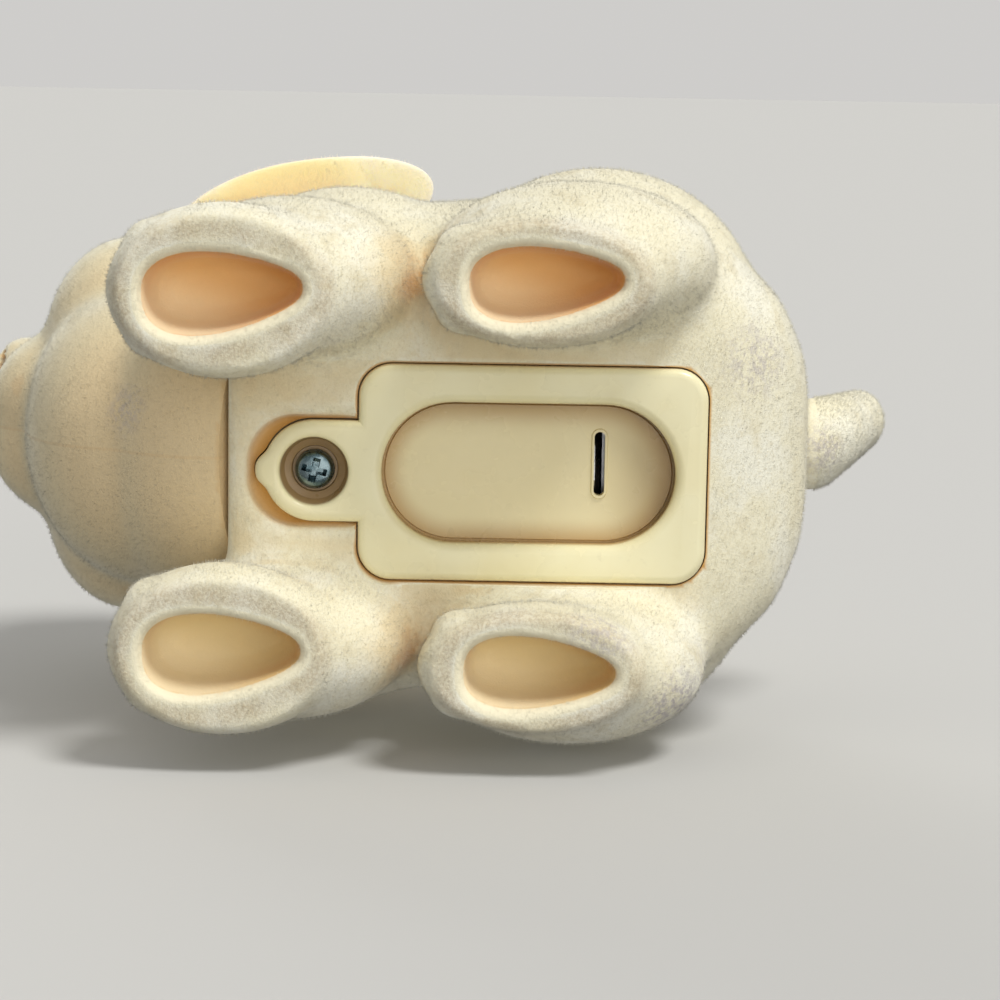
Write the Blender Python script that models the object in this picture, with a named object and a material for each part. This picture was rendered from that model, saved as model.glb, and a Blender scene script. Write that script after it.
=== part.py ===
"""A flocked toy puppy that answers when it is moved: hard casing in halves, a swivel head, a plug-in tail,
a screwed battery door in the belly and the works inside.

Metres, +Z up. The toy stands on its four soles at z = 0, head towards -Y, its left side at +X.
The nose tip and the tail tip are half a toy length from the origin."""

import math

import bmesh
import bpy
from mathutils import Matrix, Vector

# Fits shared by all pieces
gap = 0.0003
running_gap = 0.0003
overrun = 0.002

# Whole toy
toy_length = 0.1014
half_length = toy_length / 2

# Body casing
casing_wall = 0.0018
belly_z = 0.012
back_z = 0.050
torso_front_y = -0.030
tail_length = 0.0099
rump_y = half_length - tail_length
torso_half_width = 0.0262
casing_seam_z = 0.031
remesh_voxel = 0.0012
torso_squareness = 2.7
cavity_squareness = 2.6
belly_squareness_share = 1.75
torso_station_shares = [0, 0.17, 0.35, 0.56, 0.73, 0.86, 0.945, 0.985, 1]
torso_width_shares = [0.74, 0.78, 0.96, 1, 0.98, 0.84, 0.63, 0.40, 0.15]
torso_squareness_shares = [0.75, 0.76, 0.86, 1, 1, 0.97, 0.9, 0.82, 0.76]
torso_bottom_shares = [0.02, 0, 0, 0, 0, 0.02, 0.13, 0.25, 0.44]
torso_top_shares = [0.97, 1, 1, 1, 0.98, 0.92, 0.82, 0.7, 0.54]

# Legs: each lobe is a swelling with its own centre and radii
shoulder_centre = (0.0150, -0.0085, 0.0260)
shoulder_radii = (0.0136, 0.0150, 0.0148)
foreleg_centre = (0.0186, -0.0138, 0.0135)
foreleg_radii = (0.0082, 0.0130, 0.0130)
forepaw_centre = (0.0178, -0.0195, 0.0036)
forepaw_radii = (0.0089, 0.0119, 0.0076)
haunch_centre = (0.0150, 0.0178, 0.0262)
haunch_radii = (0.0148, 0.0168, 0.0146)
hindleg_centre = (0.0208, 0.0150, 0.0130)
hindleg_radii = (0.0080, 0.0145, 0.0125)
hindpaw_centre = (0.0192, 0.0115, 0.0036)
hindpaw_radii = (0.0067, 0.0122, 0.0076)

# Hollows in the soles
fore_hollow_length = 0.0153
fore_blunt_radius = 0.0039
fore_sole_y = -0.0194
hind_hollow_length = 0.0147
hind_blunt_radius = 0.0035
hind_sole_y = 0.0120
sole_point_radius = 0.0023
sole_hollow_depth = 0.0085
sole_lip = 0.0009
sole_draft = 0.0008

# Neck: head and casing meet in a leaning plane
neck_lean = math.radians(18)
neck_radius = 0.0195
neck_bottom_y = -0.0208
neck_clearance = 0.0010
neck_flare_share = 0.28
neck_face_wall = 0.0018
head_swing = math.radians(20)

# Head casing
head_wall = 0.0018
cranium_centre = (0, -0.0250, 0.0478)
cranium_radii = (0.0250, 0.0190, 0.0226)
throat_centre = (0, -0.0222, 0.0332)
throat_radii = (0.0196, 0.0150, 0.0208)
chin_centre = (0, -0.0300, 0.0340)
chin_radii = (0.0168, 0.0140, 0.0165)
cheek_centre = (0.0086, -0.0330, 0.0400)
cheek_radii = (0.0124, 0.0100, 0.0110)
muzzle_centre = (0, -0.0398, 0.0455)
muzzle_radii = (0.0088, 0.0096, 0.0082)
lip_centre = (0.0050, -0.0460, 0.0460)
lip_radii = (0.0042, 0.0042, 0.0039)
brow_centre = (0.0076, -0.0318, 0.0575)
brow_radii = (0.0100, 0.0090, 0.0085)
jaw_centre = (0.0022, -0.0380, 0.0395)
jaw_radii = (0.0090, 0.0112, 0.0085)

# Face pieces
eye_centre = (0.0104, -0.0396, 0.0535)
eye_radius = 0.0036
eye_dome_share = 0.45
eye_look_share = (0.37, 0.91, 0.15)
nose_depth = 0.0031
nose_y = nose_depth - half_length
nose_z = 0.0498
nose_radii = (0.0037, 0.0026)
nose_peg_radius = 0.0012
nose_peg_length = 0.0040

# Ears: flaps that hang outwards and back from their roots
ear_root = (0.0168, -0.0215, 0.0615)
ear_length = 0.0212
ear_half_width = 0.0142
ear_root_share = 0.46
ear_broadest_share = 0.56
ear_tip_share = 0.46
ear_edge_share = 0.9
ear_thickness = 0.0021
ear_cup = 0.0022
ear_droop = 0.0030
ear_length_dir = (0.66, 0.33, -0.62)
ear_width_dir = (0.10, 0.99, 0.06)

# Tail
tail_root_radius = 0.0049
tail_tip_radius = 0.0040
tail_rise = 0.0048
tail_straight_share = 0.5
tail_flat_share = 0.012
tail_z = 0.0325
tail_peg_radius = 0.0020
tail_peg_length = 0.0066
tail_washer_radius = 0.0036
tail_washer_thickness = 0.0009
tail_wall_share = 1.6

# Battery door
door_x = -0.0011
door_length = 0.0355
door_width = 0.0222
door_y = 0.01105
door_corner = 0.0034
door_thickness = 0.0017
door_proud = 0.0002
door_edge = 0.0005
lug_width = 0.0108
lug_thickness = 0.0034
nib_radius = 0.0011
nib_reach = 0.0016
screw_y = -0.0112
recess_length = 0.0300
recess_width = 0.0145
recess_y = 0.01065
recess_depth = 0.0024
recess_floor = 0.0010
recess_lip = 0.0008
pan_wall = 0.0011
slot_x = -0.0001
slot_y = 0.0179
slot_length = 0.0066
slot_width = 0.0011
tab_width = 0.0030
tab_length = 0.0016
tab_height = 0.0012
tab_spread = 0.0060

# Door screw and its keeper washer
screw_head_radius = 0.0020
screw_head_height = 0.0013
screw_shank_radius = 0.0010
screw_length = 0.0070
screw_cross_width = 0.0005
screw_cross_span = 0.0024
screw_cross_depth = 0.0007
screw_well_radius = 0.0036
screw_well_lip = 0.0006
screw_seat_radius = 0.0025
screw_sink = 0.0012
keeper_radius = 0.0022
keeper_thickness = 0.0006
keeper_travel = 0.0026

# Battery housing
housing_flange_margin = 0.0024
housing_flange = 0.0014
housing_wall = 0.0012
housing_roof = 0.0013
well_margin = 0.0005
boss_radius = 0.0037
boss_height = 0.0079
cradle_wall = 0.0010
end_wall = 0.0012

# Button cells, on edge in a row
cell_diameter = 0.0116
cell_thickness = 0.0054
cell_can_edge = 0.0005
cell_cap_radius = 0.0049
cell_cap_height = 0.0006
cell_count = 3
cell_stack_y = 0.0012

# Contacts
contact_thickness = 0.0003
contact_width = 0.0080
contact_bow = 0.0009
contact_tab_width = 0.0024
contact_tab_rise = 0.0016

# Circuit board and what is on it
board_length = 0.0330
board_width = 0.0190
board_thickness = 0.0010
board_y = 0.0120
standoff_radius = 0.0019
standoff_height = 0.0016
standoff_spread = 0.0062
board_screw_radius = 0.0008
board_screw_head_radius = 0.0016
board_screw_head = 0.0009
board_screw_length = 0.0022
chip_radius = 0.0032
chip_height = 0.0013
chip_place = (-0.0020, 0.0030)
capacitor_radius = 0.0024
capacitor_height = 0.0060
capacitor_place = (0.0042, 0.0010)
resistor_size = (0.0008, 0.0016, 0.0005)
resistor_pitch = 0.0019
resistor_count = 3
resistor_place = (0.0052, 0.0092)
can_radius = 0.0027
can_height = 0.0062
can_wall = 0.0004
can_vent_radius = 0.0006
can_x = -0.0082
can_gap = 0.00045
ball_radius = 0.0014

# Speaker
speaker_radius = 0.0098
speaker_y = 0.0188
speaker_height = 0.0036
speaker_wall = 0.0006
speaker_rim = 0.0012
magnet_radius = 0.0050
magnet_height = 0.0020
cone_thickness = 0.0004
cone_dome_radius = 0.0032
cone_depth = 0.0012

# Neck bearing
spindle_radius = 0.0055
spindle_bore = 0.0035
spindle_flange_radius = 0.0085
spindle_flange = 0.0012
neck_washer_radius = 0.0074
neck_washer_thickness = 0.0012
neck_web = 0.0014
neck_screw_radius = 0.0011
neck_screw_head_radius = 0.0021
neck_screw_head = 0.0013
neck_screw_length = 0.0030

# Wires
wire_radius = 0.0004
wire_spread = 0.0024
wire_loop = 0.0030


def wipe_scene():
    """Starts from an empty scene."""
    for item in list(bpy.data.objects):
        bpy.data.objects.remove(item, do_unlink=True)


def material(name, colour, roughness, metallic=0.0):
    """A plain Principled surface with the piece's own colour."""
    surface = bpy.data.materials.new(name)
    surface.use_nodes = True
    shader = surface.node_tree.nodes["Principled BSDF"]
    shader.inputs["Base Color"].default_value = (*colour, 1)
    shader.inputs["Roughness"].default_value = roughness
    shader.inputs["Metallic"].default_value = metallic
    surface.diffuse_color = (*colour, 1)
    return surface


def add_mesh(name, bm, surface=None, flat=False, place=None):
    """Turns a bmesh into a named object at its place, smooth but for its sharp edges."""
    bmesh.ops.recalc_face_normals(bm, faces=bm.faces)
    mesh = bpy.data.meshes.new(name)
    bm.to_mesh(mesh)
    bm.free()
    if not flat:
        mesh.shade_smooth()
        mesh.set_sharp_from_angle(angle=math.radians(35))
    item = bpy.data.objects.new(name, mesh)
    bpy.context.scene.collection.objects.link(item)
    if place:
        item.matrix_world = place
    if surface:
        mesh.materials.append(surface)
    return item


def hide(item):
    """Marks a cutter or a guide, which isn't a piece of the toy."""
    item.hide_render = True
    item.display_type = "WIRE"
    return item


def carve(target, cutter, operation="DIFFERENCE"):
    """Cuts one solid with another, joins them or keeps what they share."""
    step = target.modifiers.new(cutter.name, "BOOLEAN")
    step.operation = operation
    step.solver = "EXACT"
    step.object = hide(cutter)


def baked(item, name, surface):
    """The evaluated shape of a guide as a piece of its own."""
    bpy.context.view_layer.update()
    graph = bpy.context.evaluated_depsgraph_get()
    mesh = bpy.data.meshes.new_from_object(item.evaluated_get(graph))
    mesh.name = name
    mesh.materials.clear()
    mesh.materials.append(surface)
    mesh.shade_smooth()
    mesh.set_sharp_from_angle(angle=math.radians(35))
    piece = bpy.data.objects.new(name, mesh)
    bpy.context.scene.collection.objects.link(piece)
    return piece


def lobe(bm, centre, radii, sides=28):
    """One ellipsoid swelling of the casing's outer shape."""
    place = Matrix.Translation(Vector(centre)) @ Matrix.Diagonal((*radii, 1))
    bmesh.ops.create_uvsphere(bm, u_segments=sides, v_segments=sides // 2, radius=1, matrix=place)


def pair(place):
    """A place and its mirror image on the toy's other side."""
    return [Vector(place), Vector((-place[0], place[1], place[2]))]


def stack_rings(bm, rings):
    """Skins a row of rings of equally many points and closes both ends."""
    loops = [[bm.verts.new(point) for point in ring] for ring in rings]
    count = len(loops[0])
    for lower, upper in zip(loops, loops[1:]):
        for i in range(count):
            j = (i + 1) % count
            bm.faces.new((lower[i], lower[j], upper[j], upper[i]))
    bm.faces.new(list(reversed(loops[0])))
    bm.faces.new(loops[-1])


def prism(name, levels, surface=None):
    """A solid from flat outlines at rising heights: levels holds (outline, z) in order."""
    bm = bmesh.new()
    stack_rings(bm, [[(x, y, z) for x, y in outline] for outline, z in levels])
    return add_mesh(name, bm, surface)


def block(name, low, high, surface=None):
    """A plain box between two corners."""
    bm = bmesh.new()
    low = Vector(low)
    high = Vector(high)
    bmesh.ops.create_cube(bm, size=1, matrix=Matrix.Diagonal((*(high - low), 1)))
    return add_mesh(name, bm, surface, flat=True, place=Matrix.Translation((low + high) / 2))


def turned(name, profile, place, surface=None, sides=32):
    """A turned solid: profile holds (radius, height) from the axis at one end to the axis at the other."""
    bm = bmesh.new()
    rings = []
    for radius, height in profile:
        if radius == 0:
            rings.append([bm.verts.new((0, 0, height))])
            continue
        ring = []
        for i in range(sides):
            angle = 2 * math.pi * (i + 0.5) / sides
            ring.append(bm.verts.new((radius * math.cos(angle), radius * math.sin(angle), height)))
        rings.append(ring)
    for first, second in zip(rings, rings[1:]):
        for i in range(sides):
            j = (i + 1) % sides
            near = [first[i % len(first)], first[j % len(first)]]
            corners = near + [second[j % len(second)], second[i % len(second)]]
            bm.faces.new(list(dict.fromkeys(corners)))
    return add_mesh(name, bm, surface, place=place)


def rod(radius, low, high):
    """The profile of a plain round rod between two heights, for turned()."""
    return [(0, low), (radius, low), (radius, high), (0, high)]


def aim(place, direction):
    """A place whose Z axis points the given way."""
    return Matrix.Translation(place) @ Vector(direction).to_track_quat("Z", "Y").to_matrix().to_4x4()


def arc(centre, radius, start, end, steps):
    """Points along a round stretch of an outline, angles in degrees."""
    points = []
    for i in range(steps + 1):
        angle = math.radians(start + (end - start) * i / steps)
        points.append((centre[0] + radius * math.cos(angle), centre[1] + radius * math.sin(angle)))
    return points


def rounded_box(centre, width, length, corner, steps=5):
    """A rounded rectangle, width along X and length along Y."""
    x = width / 2 - corner
    y = length / 2 - corner
    points = []
    for sign_x, sign_y, start in ((1, 1, 0), (-1, 1, 90), (-1, -1, 180), (1, -1, 270)):
        middle = (centre[0] + sign_x * x, centre[1] + sign_y * y)
        points += arc(middle, corner, start, start + 90, steps)
    return points


def stadium(centre, width, length, steps=10):
    """Two half rounds joined by straight sides along Y."""
    reach = length / 2 - width / 2
    ends = arc((centre[0], centre[1] + reach), width / 2, 0, 180, steps)
    return ends + arc((centre[0], centre[1] - reach), width / 2, 180, 360, steps)


def disc(centre, radius, sides=28):
    """A round outline."""
    return arc(centre, radius, 0, 360 * (sides - 1) / sides, sides - 1)


def teardrop(centre, blunt, point, length, steps=8):
    """The outline of a sole's hollow: a blunt round end at the front, a small one at the back."""
    span = length - blunt - point
    lean = math.degrees(math.asin((blunt - point) / span))
    front = (centre[0], centre[1] - length / 2 + blunt)
    back = (centre[0], centre[1] + length / 2 - point)
    points = arc(back, point, lean, 180 - lean, steps)
    return points + arc(front, blunt, 180 - lean, 360 + lean, steps)


# The neck's plane and axis
neck_axis = Vector((0, -math.cos(neck_lean), math.sin(neck_lean)))
neck_up = Vector((0, math.sin(neck_lean), math.cos(neck_lean)))
neck_centre = Vector((0, neck_bottom_y, belly_z)) + neck_radius * neck_up
neck_place = aim(neck_centre, neck_axis)

# Heights that follow from the belly up
door_bottom = belly_z - door_proud
door_top = belly_z + door_thickness
recess_top = door_bottom + recess_depth
pan_top = recess_top + recess_floor
casing_floor = belly_z + casing_wall
housing_bottom = casing_floor + gap
lug_top = door_bottom + lug_thickness
screw_head_z = door_bottom + screw_sink
screw_seat_z = screw_head_z + screw_head_height
cell_bottom = pan_top + gap
cell_axis_z = cell_bottom + cell_diameter / 2
roof_bottom = cell_bottom + cell_diameter + gap
roof_top = roof_bottom + housing_roof
board_bottom = roof_top + standoff_height + gap
board_top = board_bottom + board_thickness
keeper_z = lug_top + running_gap + keeper_travel
cell_stack_end = cell_stack_y + cell_count * cell_thickness + (cell_count - 1) * gap


def torso_ring(station, inset, squareness, sides=32):
    """One cross-section of the torso, drawn in from its surface by inset."""
    span = rump_y - torso_front_y
    share = torso_station_shares[station]
    y = torso_front_y + share * span
    squareness *= torso_squareness_shares[station]
    last = len(torso_station_shares) - 1
    if station == last:
        y -= inset
    half_width = max(torso_half_width * torso_width_shares[station] - inset, gap)
    height = back_z - belly_z
    bottom = belly_z + height * torso_bottom_shares[station] + inset
    top = belly_z + height * torso_top_shares[station] - inset
    if top - bottom < gap:
        bottom = top = (top + bottom) / 2
        bottom -= gap
        top += gap
    middle = (top + bottom) / 2
    ring = []
    for i in range(sides):
        angle = 2 * math.pi * i / sides
        power = 2 / squareness if math.sin(angle) > 0 else 2 / (squareness * belly_squareness_share)
        across = math.copysign(abs(math.cos(angle)) ** power, math.cos(angle))
        rise = math.copysign(abs(math.sin(angle)) ** power, math.sin(angle))
        ring.append((half_width * across, y, middle + (top - bottom) / 2 * rise))
    return ring


def torso(bm, inset, squareness):
    """The torso's skinned cross-sections."""
    stack_rings(bm, [torso_ring(i, inset, squareness) for i in range(len(torso_station_shares))])


def soften(item, passes, ratio):
    """Melts overlapping swellings into one skin and thins its faces."""
    skin = item.modifiers.new("skin", "REMESH")
    skin.mode = "VOXEL"
    skin.voxel_size = remesh_voxel
    melt = item.modifiers.new("melt", "SMOOTH")
    melt.factor = 0.5
    melt.iterations = passes
    thin = item.modifiers.new("thin", "DECIMATE")
    thin.ratio = ratio
    thin.use_symmetry = True
    thin.symmetry_axis = "X"


def body_form():
    """The casing's outer shape: torso, shoulders, haunches and paws melted together."""
    bm = bmesh.new()
    torso(bm, 0, torso_squareness)
    whole = bm.verts[:] + bm.edges[:] + bm.faces[:]
    bmesh.ops.bisect_plane(bm, geom=whole, plane_co=neck_centre, plane_no=neck_axis, clear_outer=True)
    bmesh.ops.holes_fill(bm, edges=bm.edges)
    for centre, radii in (
        (shoulder_centre, shoulder_radii),
        (foreleg_centre, foreleg_radii),
        (forepaw_centre, forepaw_radii),
        (haunch_centre, haunch_radii),
        (hindleg_centre, hindleg_radii),
        (hindpaw_centre, hindpaw_radii),
    ):
        for spot in pair(centre):
            lobe(bm, spot, radii)
    form = add_mesh("body_form", bm)
    soften(form, 16, 0.09)
    return form


def neck_cut():
    """Room for the head in front of the neck's plane, a little wider forwards."""
    reach = half_length
    rim = neck_radius + neck_clearance
    profile = [(0, 0), (rim, 0), (rim + neck_flare_share * reach, reach), (0, reach)]
    return turned("neck_cut", profile, neck_place, sides=48)


def swing_room(share):
    """Room in the shoulders for the head where it has turned by a share of its swing."""
    turn = Matrix.Rotation(share * head_swing, 4, neck_axis)
    bm = bmesh.new()
    lobe(bm, cranium_centre, [radius + neck_clearance * 3 / 5 for radius in cranium_radii])
    bmesh.ops.rotate(bm, cent=neck_centre, matrix=turn, verts=bm.verts)
    ahead = neck_centre + neck_axis * gap / 2
    whole = bm.verts[:] + bm.edges[:] + bm.faces[:]
    bmesh.ops.bisect_plane(bm, geom=whole, plane_co=ahead, plane_no=neck_axis, clear_inner=True)
    bmesh.ops.holes_fill(bm, edges=bm.edges)
    return add_mesh(f"swing_room_{share}", bm)


def cavity():
    """The hollow inside the body casing, closed towards the neck by the neck face's wall."""
    bm = bmesh.new()
    torso(bm, casing_wall, cavity_squareness)
    room = add_mesh("body_cavity", bm)
    back_off = Matrix.Translation(-neck_axis * neck_face_wall)
    reach = half_length
    wide = toy_length
    carve(room, turned("cavity_front", rod(wide, 0, reach), back_off @ neck_place, sides=24))
    return room


def sole_hollow(name, centre, blunt, length):
    """The teardrop hollow of one sole, with a widened lip and a little draft."""
    def outline(grow):
        return teardrop(centre, blunt + grow, sole_point_radius + grow, length + 2 * grow)
    levels = [
        (outline(sole_lip), -overrun),
        (outline(sole_lip), 0),
        (outline(sole_lip / 3), sole_lip / 2),
        (outline(0), sole_lip * 4 / 3),
        (outline(-sole_draft), sole_hollow_depth),
    ]
    return prism(name, levels)


def lug_outline(grow, steps=10):
    """The door's screw lug: straight sides from the door's edge, a round end and a small nib."""
    half = lug_width / 2 + grow
    round_y = screw_y
    nib = nib_radius + grow
    nib_y = screw_y - lug_width / 2 - nib_reach + nib_radius
    side = door_y - door_length / 2 + door_corner
    points = [(door_x + half, side), (door_x - half, side)]
    points += arc((door_x, round_y), half, 180, 252, steps)
    points += arc((door_x, nib_y), nib, 215, 325, steps // 2)
    points += arc((door_x, round_y), half, 288, 360, steps)
    return points


def door_outline(grow, steps=5):
    """The door's main plate."""
    width = door_width + 2 * grow
    length = door_length + 2 * grow
    return rounded_box((door_x, door_y), width, length, door_corner + grow, steps)


def casing():
    """The two glued halves of the body casing."""
    flock = material("cream_flock", (0.86, 0.80, 0.62), 0.95)
    form = body_form()
    far = toy_length
    carve(form, block("ground_cut", (-far, -far, -far), (far, far, 0)))
    carve(form, neck_cut())
    for share in (-1, -0.5, 0.5, 1):
        carve(form, swing_room(share))
    low = belly_z - overrun * 2
    high = casing_floor + overrun
    carve(form, prism("door_opening", [(door_outline(gap), low), (door_outline(gap), high)]))
    carve(form, prism("lug_opening", [(lug_outline(gap), low), (lug_outline(gap), high)]))
    for side, sign in (("left", 1), ("right", -1)):
        fore = (sign * forepaw_centre[0], fore_sole_y)
        hind = (sign * hindpaw_centre[0], hind_sole_y)
        carve(form, sole_hollow(f"fore_hollow_{side}", fore, fore_blunt_radius, fore_hollow_length))
        carve(form, sole_hollow(f"hind_hollow_{side}", hind, hind_blunt_radius, hind_hollow_length))
    hole = spindle_radius + running_gap
    carve(form, turned("spindle_hole", rod(hole, -neck_face_wall - overrun, overrun), neck_place))
    peg_hole = tail_peg_radius + running_gap
    profile = rod(peg_hole, -tail_peg_length * 2, tail_peg_length)
    carve(form, turned("tail_hole", profile, tail_place(), sides=20))
    carve(form, cavity())
    seat = housing_outline(gap)
    seat_top = housing_bottom + housing_flange + gap
    carve(form, prism("housing_room", [(seat, casing_floor), (seat, seat_top)]))
    hide(form)
    halves = (("belly_shell", -far, casing_seam_z), ("back_shell", casing_seam_z + gap, far))
    for name, low_z, high_z in halves:
        half = baked(form, name, flock)
        carve(half, block(name + "_keep", (-far, -far, low_z), (far, far, high_z)), "INTERSECT")


def head_form():
    """The head's outer shape: cranium, throat, chin, muzzle, jaw, cheeks, lips and brows melted."""
    bm = bmesh.new()
    lobe(bm, cranium_centre, cranium_radii)
    lobe(bm, throat_centre, throat_radii)
    lobe(bm, chin_centre, chin_radii)
    lobe(bm, muzzle_centre, muzzle_radii)
    for centre, radii in (
        (jaw_centre, jaw_radii),
        (cheek_centre, cheek_radii),
        (lip_centre, lip_radii),
        (brow_centre, brow_radii),
    ):
        for spot in pair(centre):
            lobe(bm, spot, radii)
    form = add_mesh("head_form", bm)
    soften(form, 10, 0.11)
    return form


def head():
    """The two glued halves of the head casing."""
    flock = material("cream_flock_head", (0.86, 0.80, 0.62), 0.95)
    form = head_form()
    far = toy_length
    carve(form, turned("head_back_cut", rod(far, -far, running_gap), neck_place, sides=24))
    bm = bmesh.new()
    lobe(bm, cranium_centre, [radius - head_wall for radius in cranium_radii])
    hollow = add_mesh("head_hollow", bm)
    bm = bmesh.new()
    lobe(bm, throat_centre, [radius - head_wall for radius in throat_radii])
    carve(hollow, add_mesh("throat_hollow", bm), "UNION")
    face = running_gap + head_wall
    carve(hollow, turned("hollow_back", rod(far, -far, face), neck_place, sides=24))
    carve(form, hollow)
    hole = spindle_radius + gap
    carve(form, turned("head_spindle_hole", rod(hole, -overrun, face + overrun), neck_place))
    for side, spot in zip(("left", "right"), pair(eye_centre)):
        profile = rod(eye_radius + gap, -eye_radius - gap, eye_radius)
        carve(form, turned(f"eye_seat_{side}", profile, eye_place(spot), sides=24))
    profile = rod(nose_peg_radius + gap, -nose_peg_length - overrun, overrun)
    carve(form, turned("nose_peg_hole", profile, nose_place(), sides=16))
    carve(form, nose_pad("nose_seat", gap))
    for side in (1, -1):
        carve(form, ear_leaf(f"ear_seat_{side + 1}", side, gap))
    hide(form)
    for name, low_x, high_x in (("head_left_half", gap / 2, far), ("head_right_half", -far, -gap / 2)):
        half = baked(form, name, flock)
        carve(half, block(name + "_keep", (low_x, -far, -far), (high_x, far, far)), "INTERSECT")


def eye_place(spot):
    """An eye's axis points out of the head, forwards and a little sideways and up."""
    across, ahead, up = eye_look_share
    return aim(spot, (math.copysign(across, spot.x), -ahead, up))


def eyes():
    """Glossy domed eyes set in round seats."""
    surface = material("eye_brown_black", (0.02, 0.012, 0.008), 0.08)
    for name, spot in zip(("left_eye", "right_eye"), pair(eye_centre)):
        profile = [(0, -eye_radius), (eye_radius, -eye_radius), (eye_radius, 0)]
        for step in range(1, 6):
            angle = math.radians(90 * step / 6)
            profile.append((eye_radius * math.cos(angle), eye_radius * eye_dome_share * math.sin(angle)))
        profile.append((0, eye_radius * eye_dome_share))
        turned(name, profile, eye_place(spot), surface, sides=18)


def nose_place():
    """The nose's peg runs back along Y from the nose's centre."""
    return aim((0, nose_y, nose_z), (0, -1, 0))


def nose_pad(name, grow, surface=None):
    """The nose's rounded pad, whose front is the toy's foremost point."""
    bm = bmesh.new()
    radii = [radius + grow for radius in (nose_radii[0], nose_depth, nose_radii[1])]
    lobe(bm, (0, nose_y, nose_z), radii, sides=16)
    return add_mesh(name, bm, surface)


def nose():
    """The nose: a rounded pad with a peg."""
    surface = material("nose_brown", (0.045, 0.022, 0.014), 0.35)
    pad = nose_pad("nose", 0, surface)
    peg = turned("nose_peg", rod(nose_peg_radius, -nose_peg_length, 0), nose_place(), sides=16)
    carve(pad, peg, "UNION")
    return pad


def ear_leaf(name, side, grow, surface=None, rows=8, columns=8):
    """One ear: a cupped flap from its root, inner side down, mirrored for the other side."""
    along = Vector(ear_length_dir).normalized()
    across = Vector(ear_width_dir).normalized()
    outer = across.cross(along).normalized()
    if outer.z < 0:
        outer = -outer
    bm = bmesh.new()
    layers = []
    for face in (1, -1):
        layer = []
        for i in range(rows + 1):
            u = i / rows
            swell = math.sin(math.pi * min(u / ear_broadest_share, 1) / 2)
            tip = math.sqrt(1 - max((u - ear_broadest_share) / ear_tip_share, 0) ** 2)
            half = (ear_half_width - grow) * (ear_root_share + (1 - ear_root_share) * swell) * tip + grow
            line = []
            for j in range(columns + 1):
                v = 2 * j / columns - 1
                edge = math.sqrt(1 - (ear_edge_share * v) ** 4) if 0 < i < rows else 1 - ear_root_share
                spot = Vector(ear_root) + along * (ear_length * u) + across * (half * v)
                spot -= outer * (ear_cup * v * v + ear_droop * u * u)
                spot += outer * face * (ear_thickness / 2 * edge + grow)
                line.append(bm.verts.new((side * spot.x, spot.y, spot.z)))
            layer.append(line)
        layers.append(layer)
    for layer in layers:
        for i in range(rows):
            for j in range(columns):
                bm.faces.new((layer[i][j], layer[i][j + 1], layer[i + 1][j + 1], layer[i + 1][j]))
    top, bottom = layers
    rim = [(i, 0) for i in range(rows)] + [(rows, j) for j in range(columns)]
    rim += [(i, columns) for i in range(rows, 0, -1)] + [(0, j) for j in range(columns, 0, -1)]
    for (i, j), (k, m) in zip(rim, rim[1:] + rim[:1]):
        bm.faces.new((top[i][j], top[k][m], bottom[k][m], bottom[i][j]))
    return add_mesh(name, bm, surface)


def ears():
    """Both ear flaps."""
    surface = material("ear_flock", (0.90, 0.78, 0.55), 0.95)
    ear_leaf("left_ear", 1, 0, surface)
    ear_leaf("right_ear", -1, 0, surface)


def tail_place():
    """The tail's peg runs forwards along Y into the rump."""
    return aim((0, rump_y, tail_z), (0, 1, 0))


def tail():
    """The stubby tail: a rising cone on a straight peg, its round tip the toy's rearmost point."""
    surface = material("tail_flock", (0.88, 0.82, 0.64), 0.95)
    base = rump_y + gap
    reach = tail_length - gap
    steps = 7
    rings = []
    for i in range(steps + 1):
        t = i / steps
        radius = tail_root_radius + (tail_tip_radius - tail_root_radius) * t
        rounding = max((t - tail_straight_share) / (1 - tail_straight_share), 0)
        radius *= math.sqrt(max(1 - rounding**2, tail_flat_share))
        centre = Vector((0, base + reach * t, tail_z + tail_rise * t * t))
        rings.append([
            centre + Vector((radius * math.cos(a), 0, radius * math.sin(a)))
            for a in (2 * math.pi * k / 18 for k in range(18))
        ])
    bm = bmesh.new()
    stack_rings(bm, rings)
    cone = add_mesh("tail", bm, surface)
    peg = turned("tail_peg", rod(tail_peg_radius, -tail_peg_length, gap * 3), tail_place(), sides=20)
    carve(cone, peg, "UNION")
    metal = material("tail_washer_steel", (0.6, 0.6, 0.62), 0.35, 1.0)
    bore = tail_peg_radius + gap / 2
    section = [
        (bore, 0),
        (tail_washer_radius, 0),
        (tail_washer_radius, tail_washer_thickness),
        (bore, tail_washer_thickness),
    ]
    seat = Matrix.Translation((0, -casing_wall * tail_wall_share - gap, 0))
    ring("tail_washer", section, seat @ tail_place(), metal, sides=20)


def ring(name, section, place, surface, sides=32):
    """A ring with an open bore: section holds its closed cross-section as (radius, height)."""
    bm = bmesh.new()
    loops = []
    for i in range(sides):
        angle = 2 * math.pi * (i + 0.5) / sides
        loops.append([bm.verts.new((r * math.cos(angle), r * math.sin(angle), h)) for r, h in section])
    for i in range(sides):
        here = loops[i]
        there = loops[(i + 1) % sides]
        for k in range(len(section)):
            m = (k + 1) % len(section)
            bm.faces.new((here[k], there[k], there[m], here[m]))
    return add_mesh(name, bm, surface, place=place)


def upright(x, y, z):
    """A turned piece's place with its axis along +Z."""
    return Matrix.Translation((x, y, z))


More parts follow.
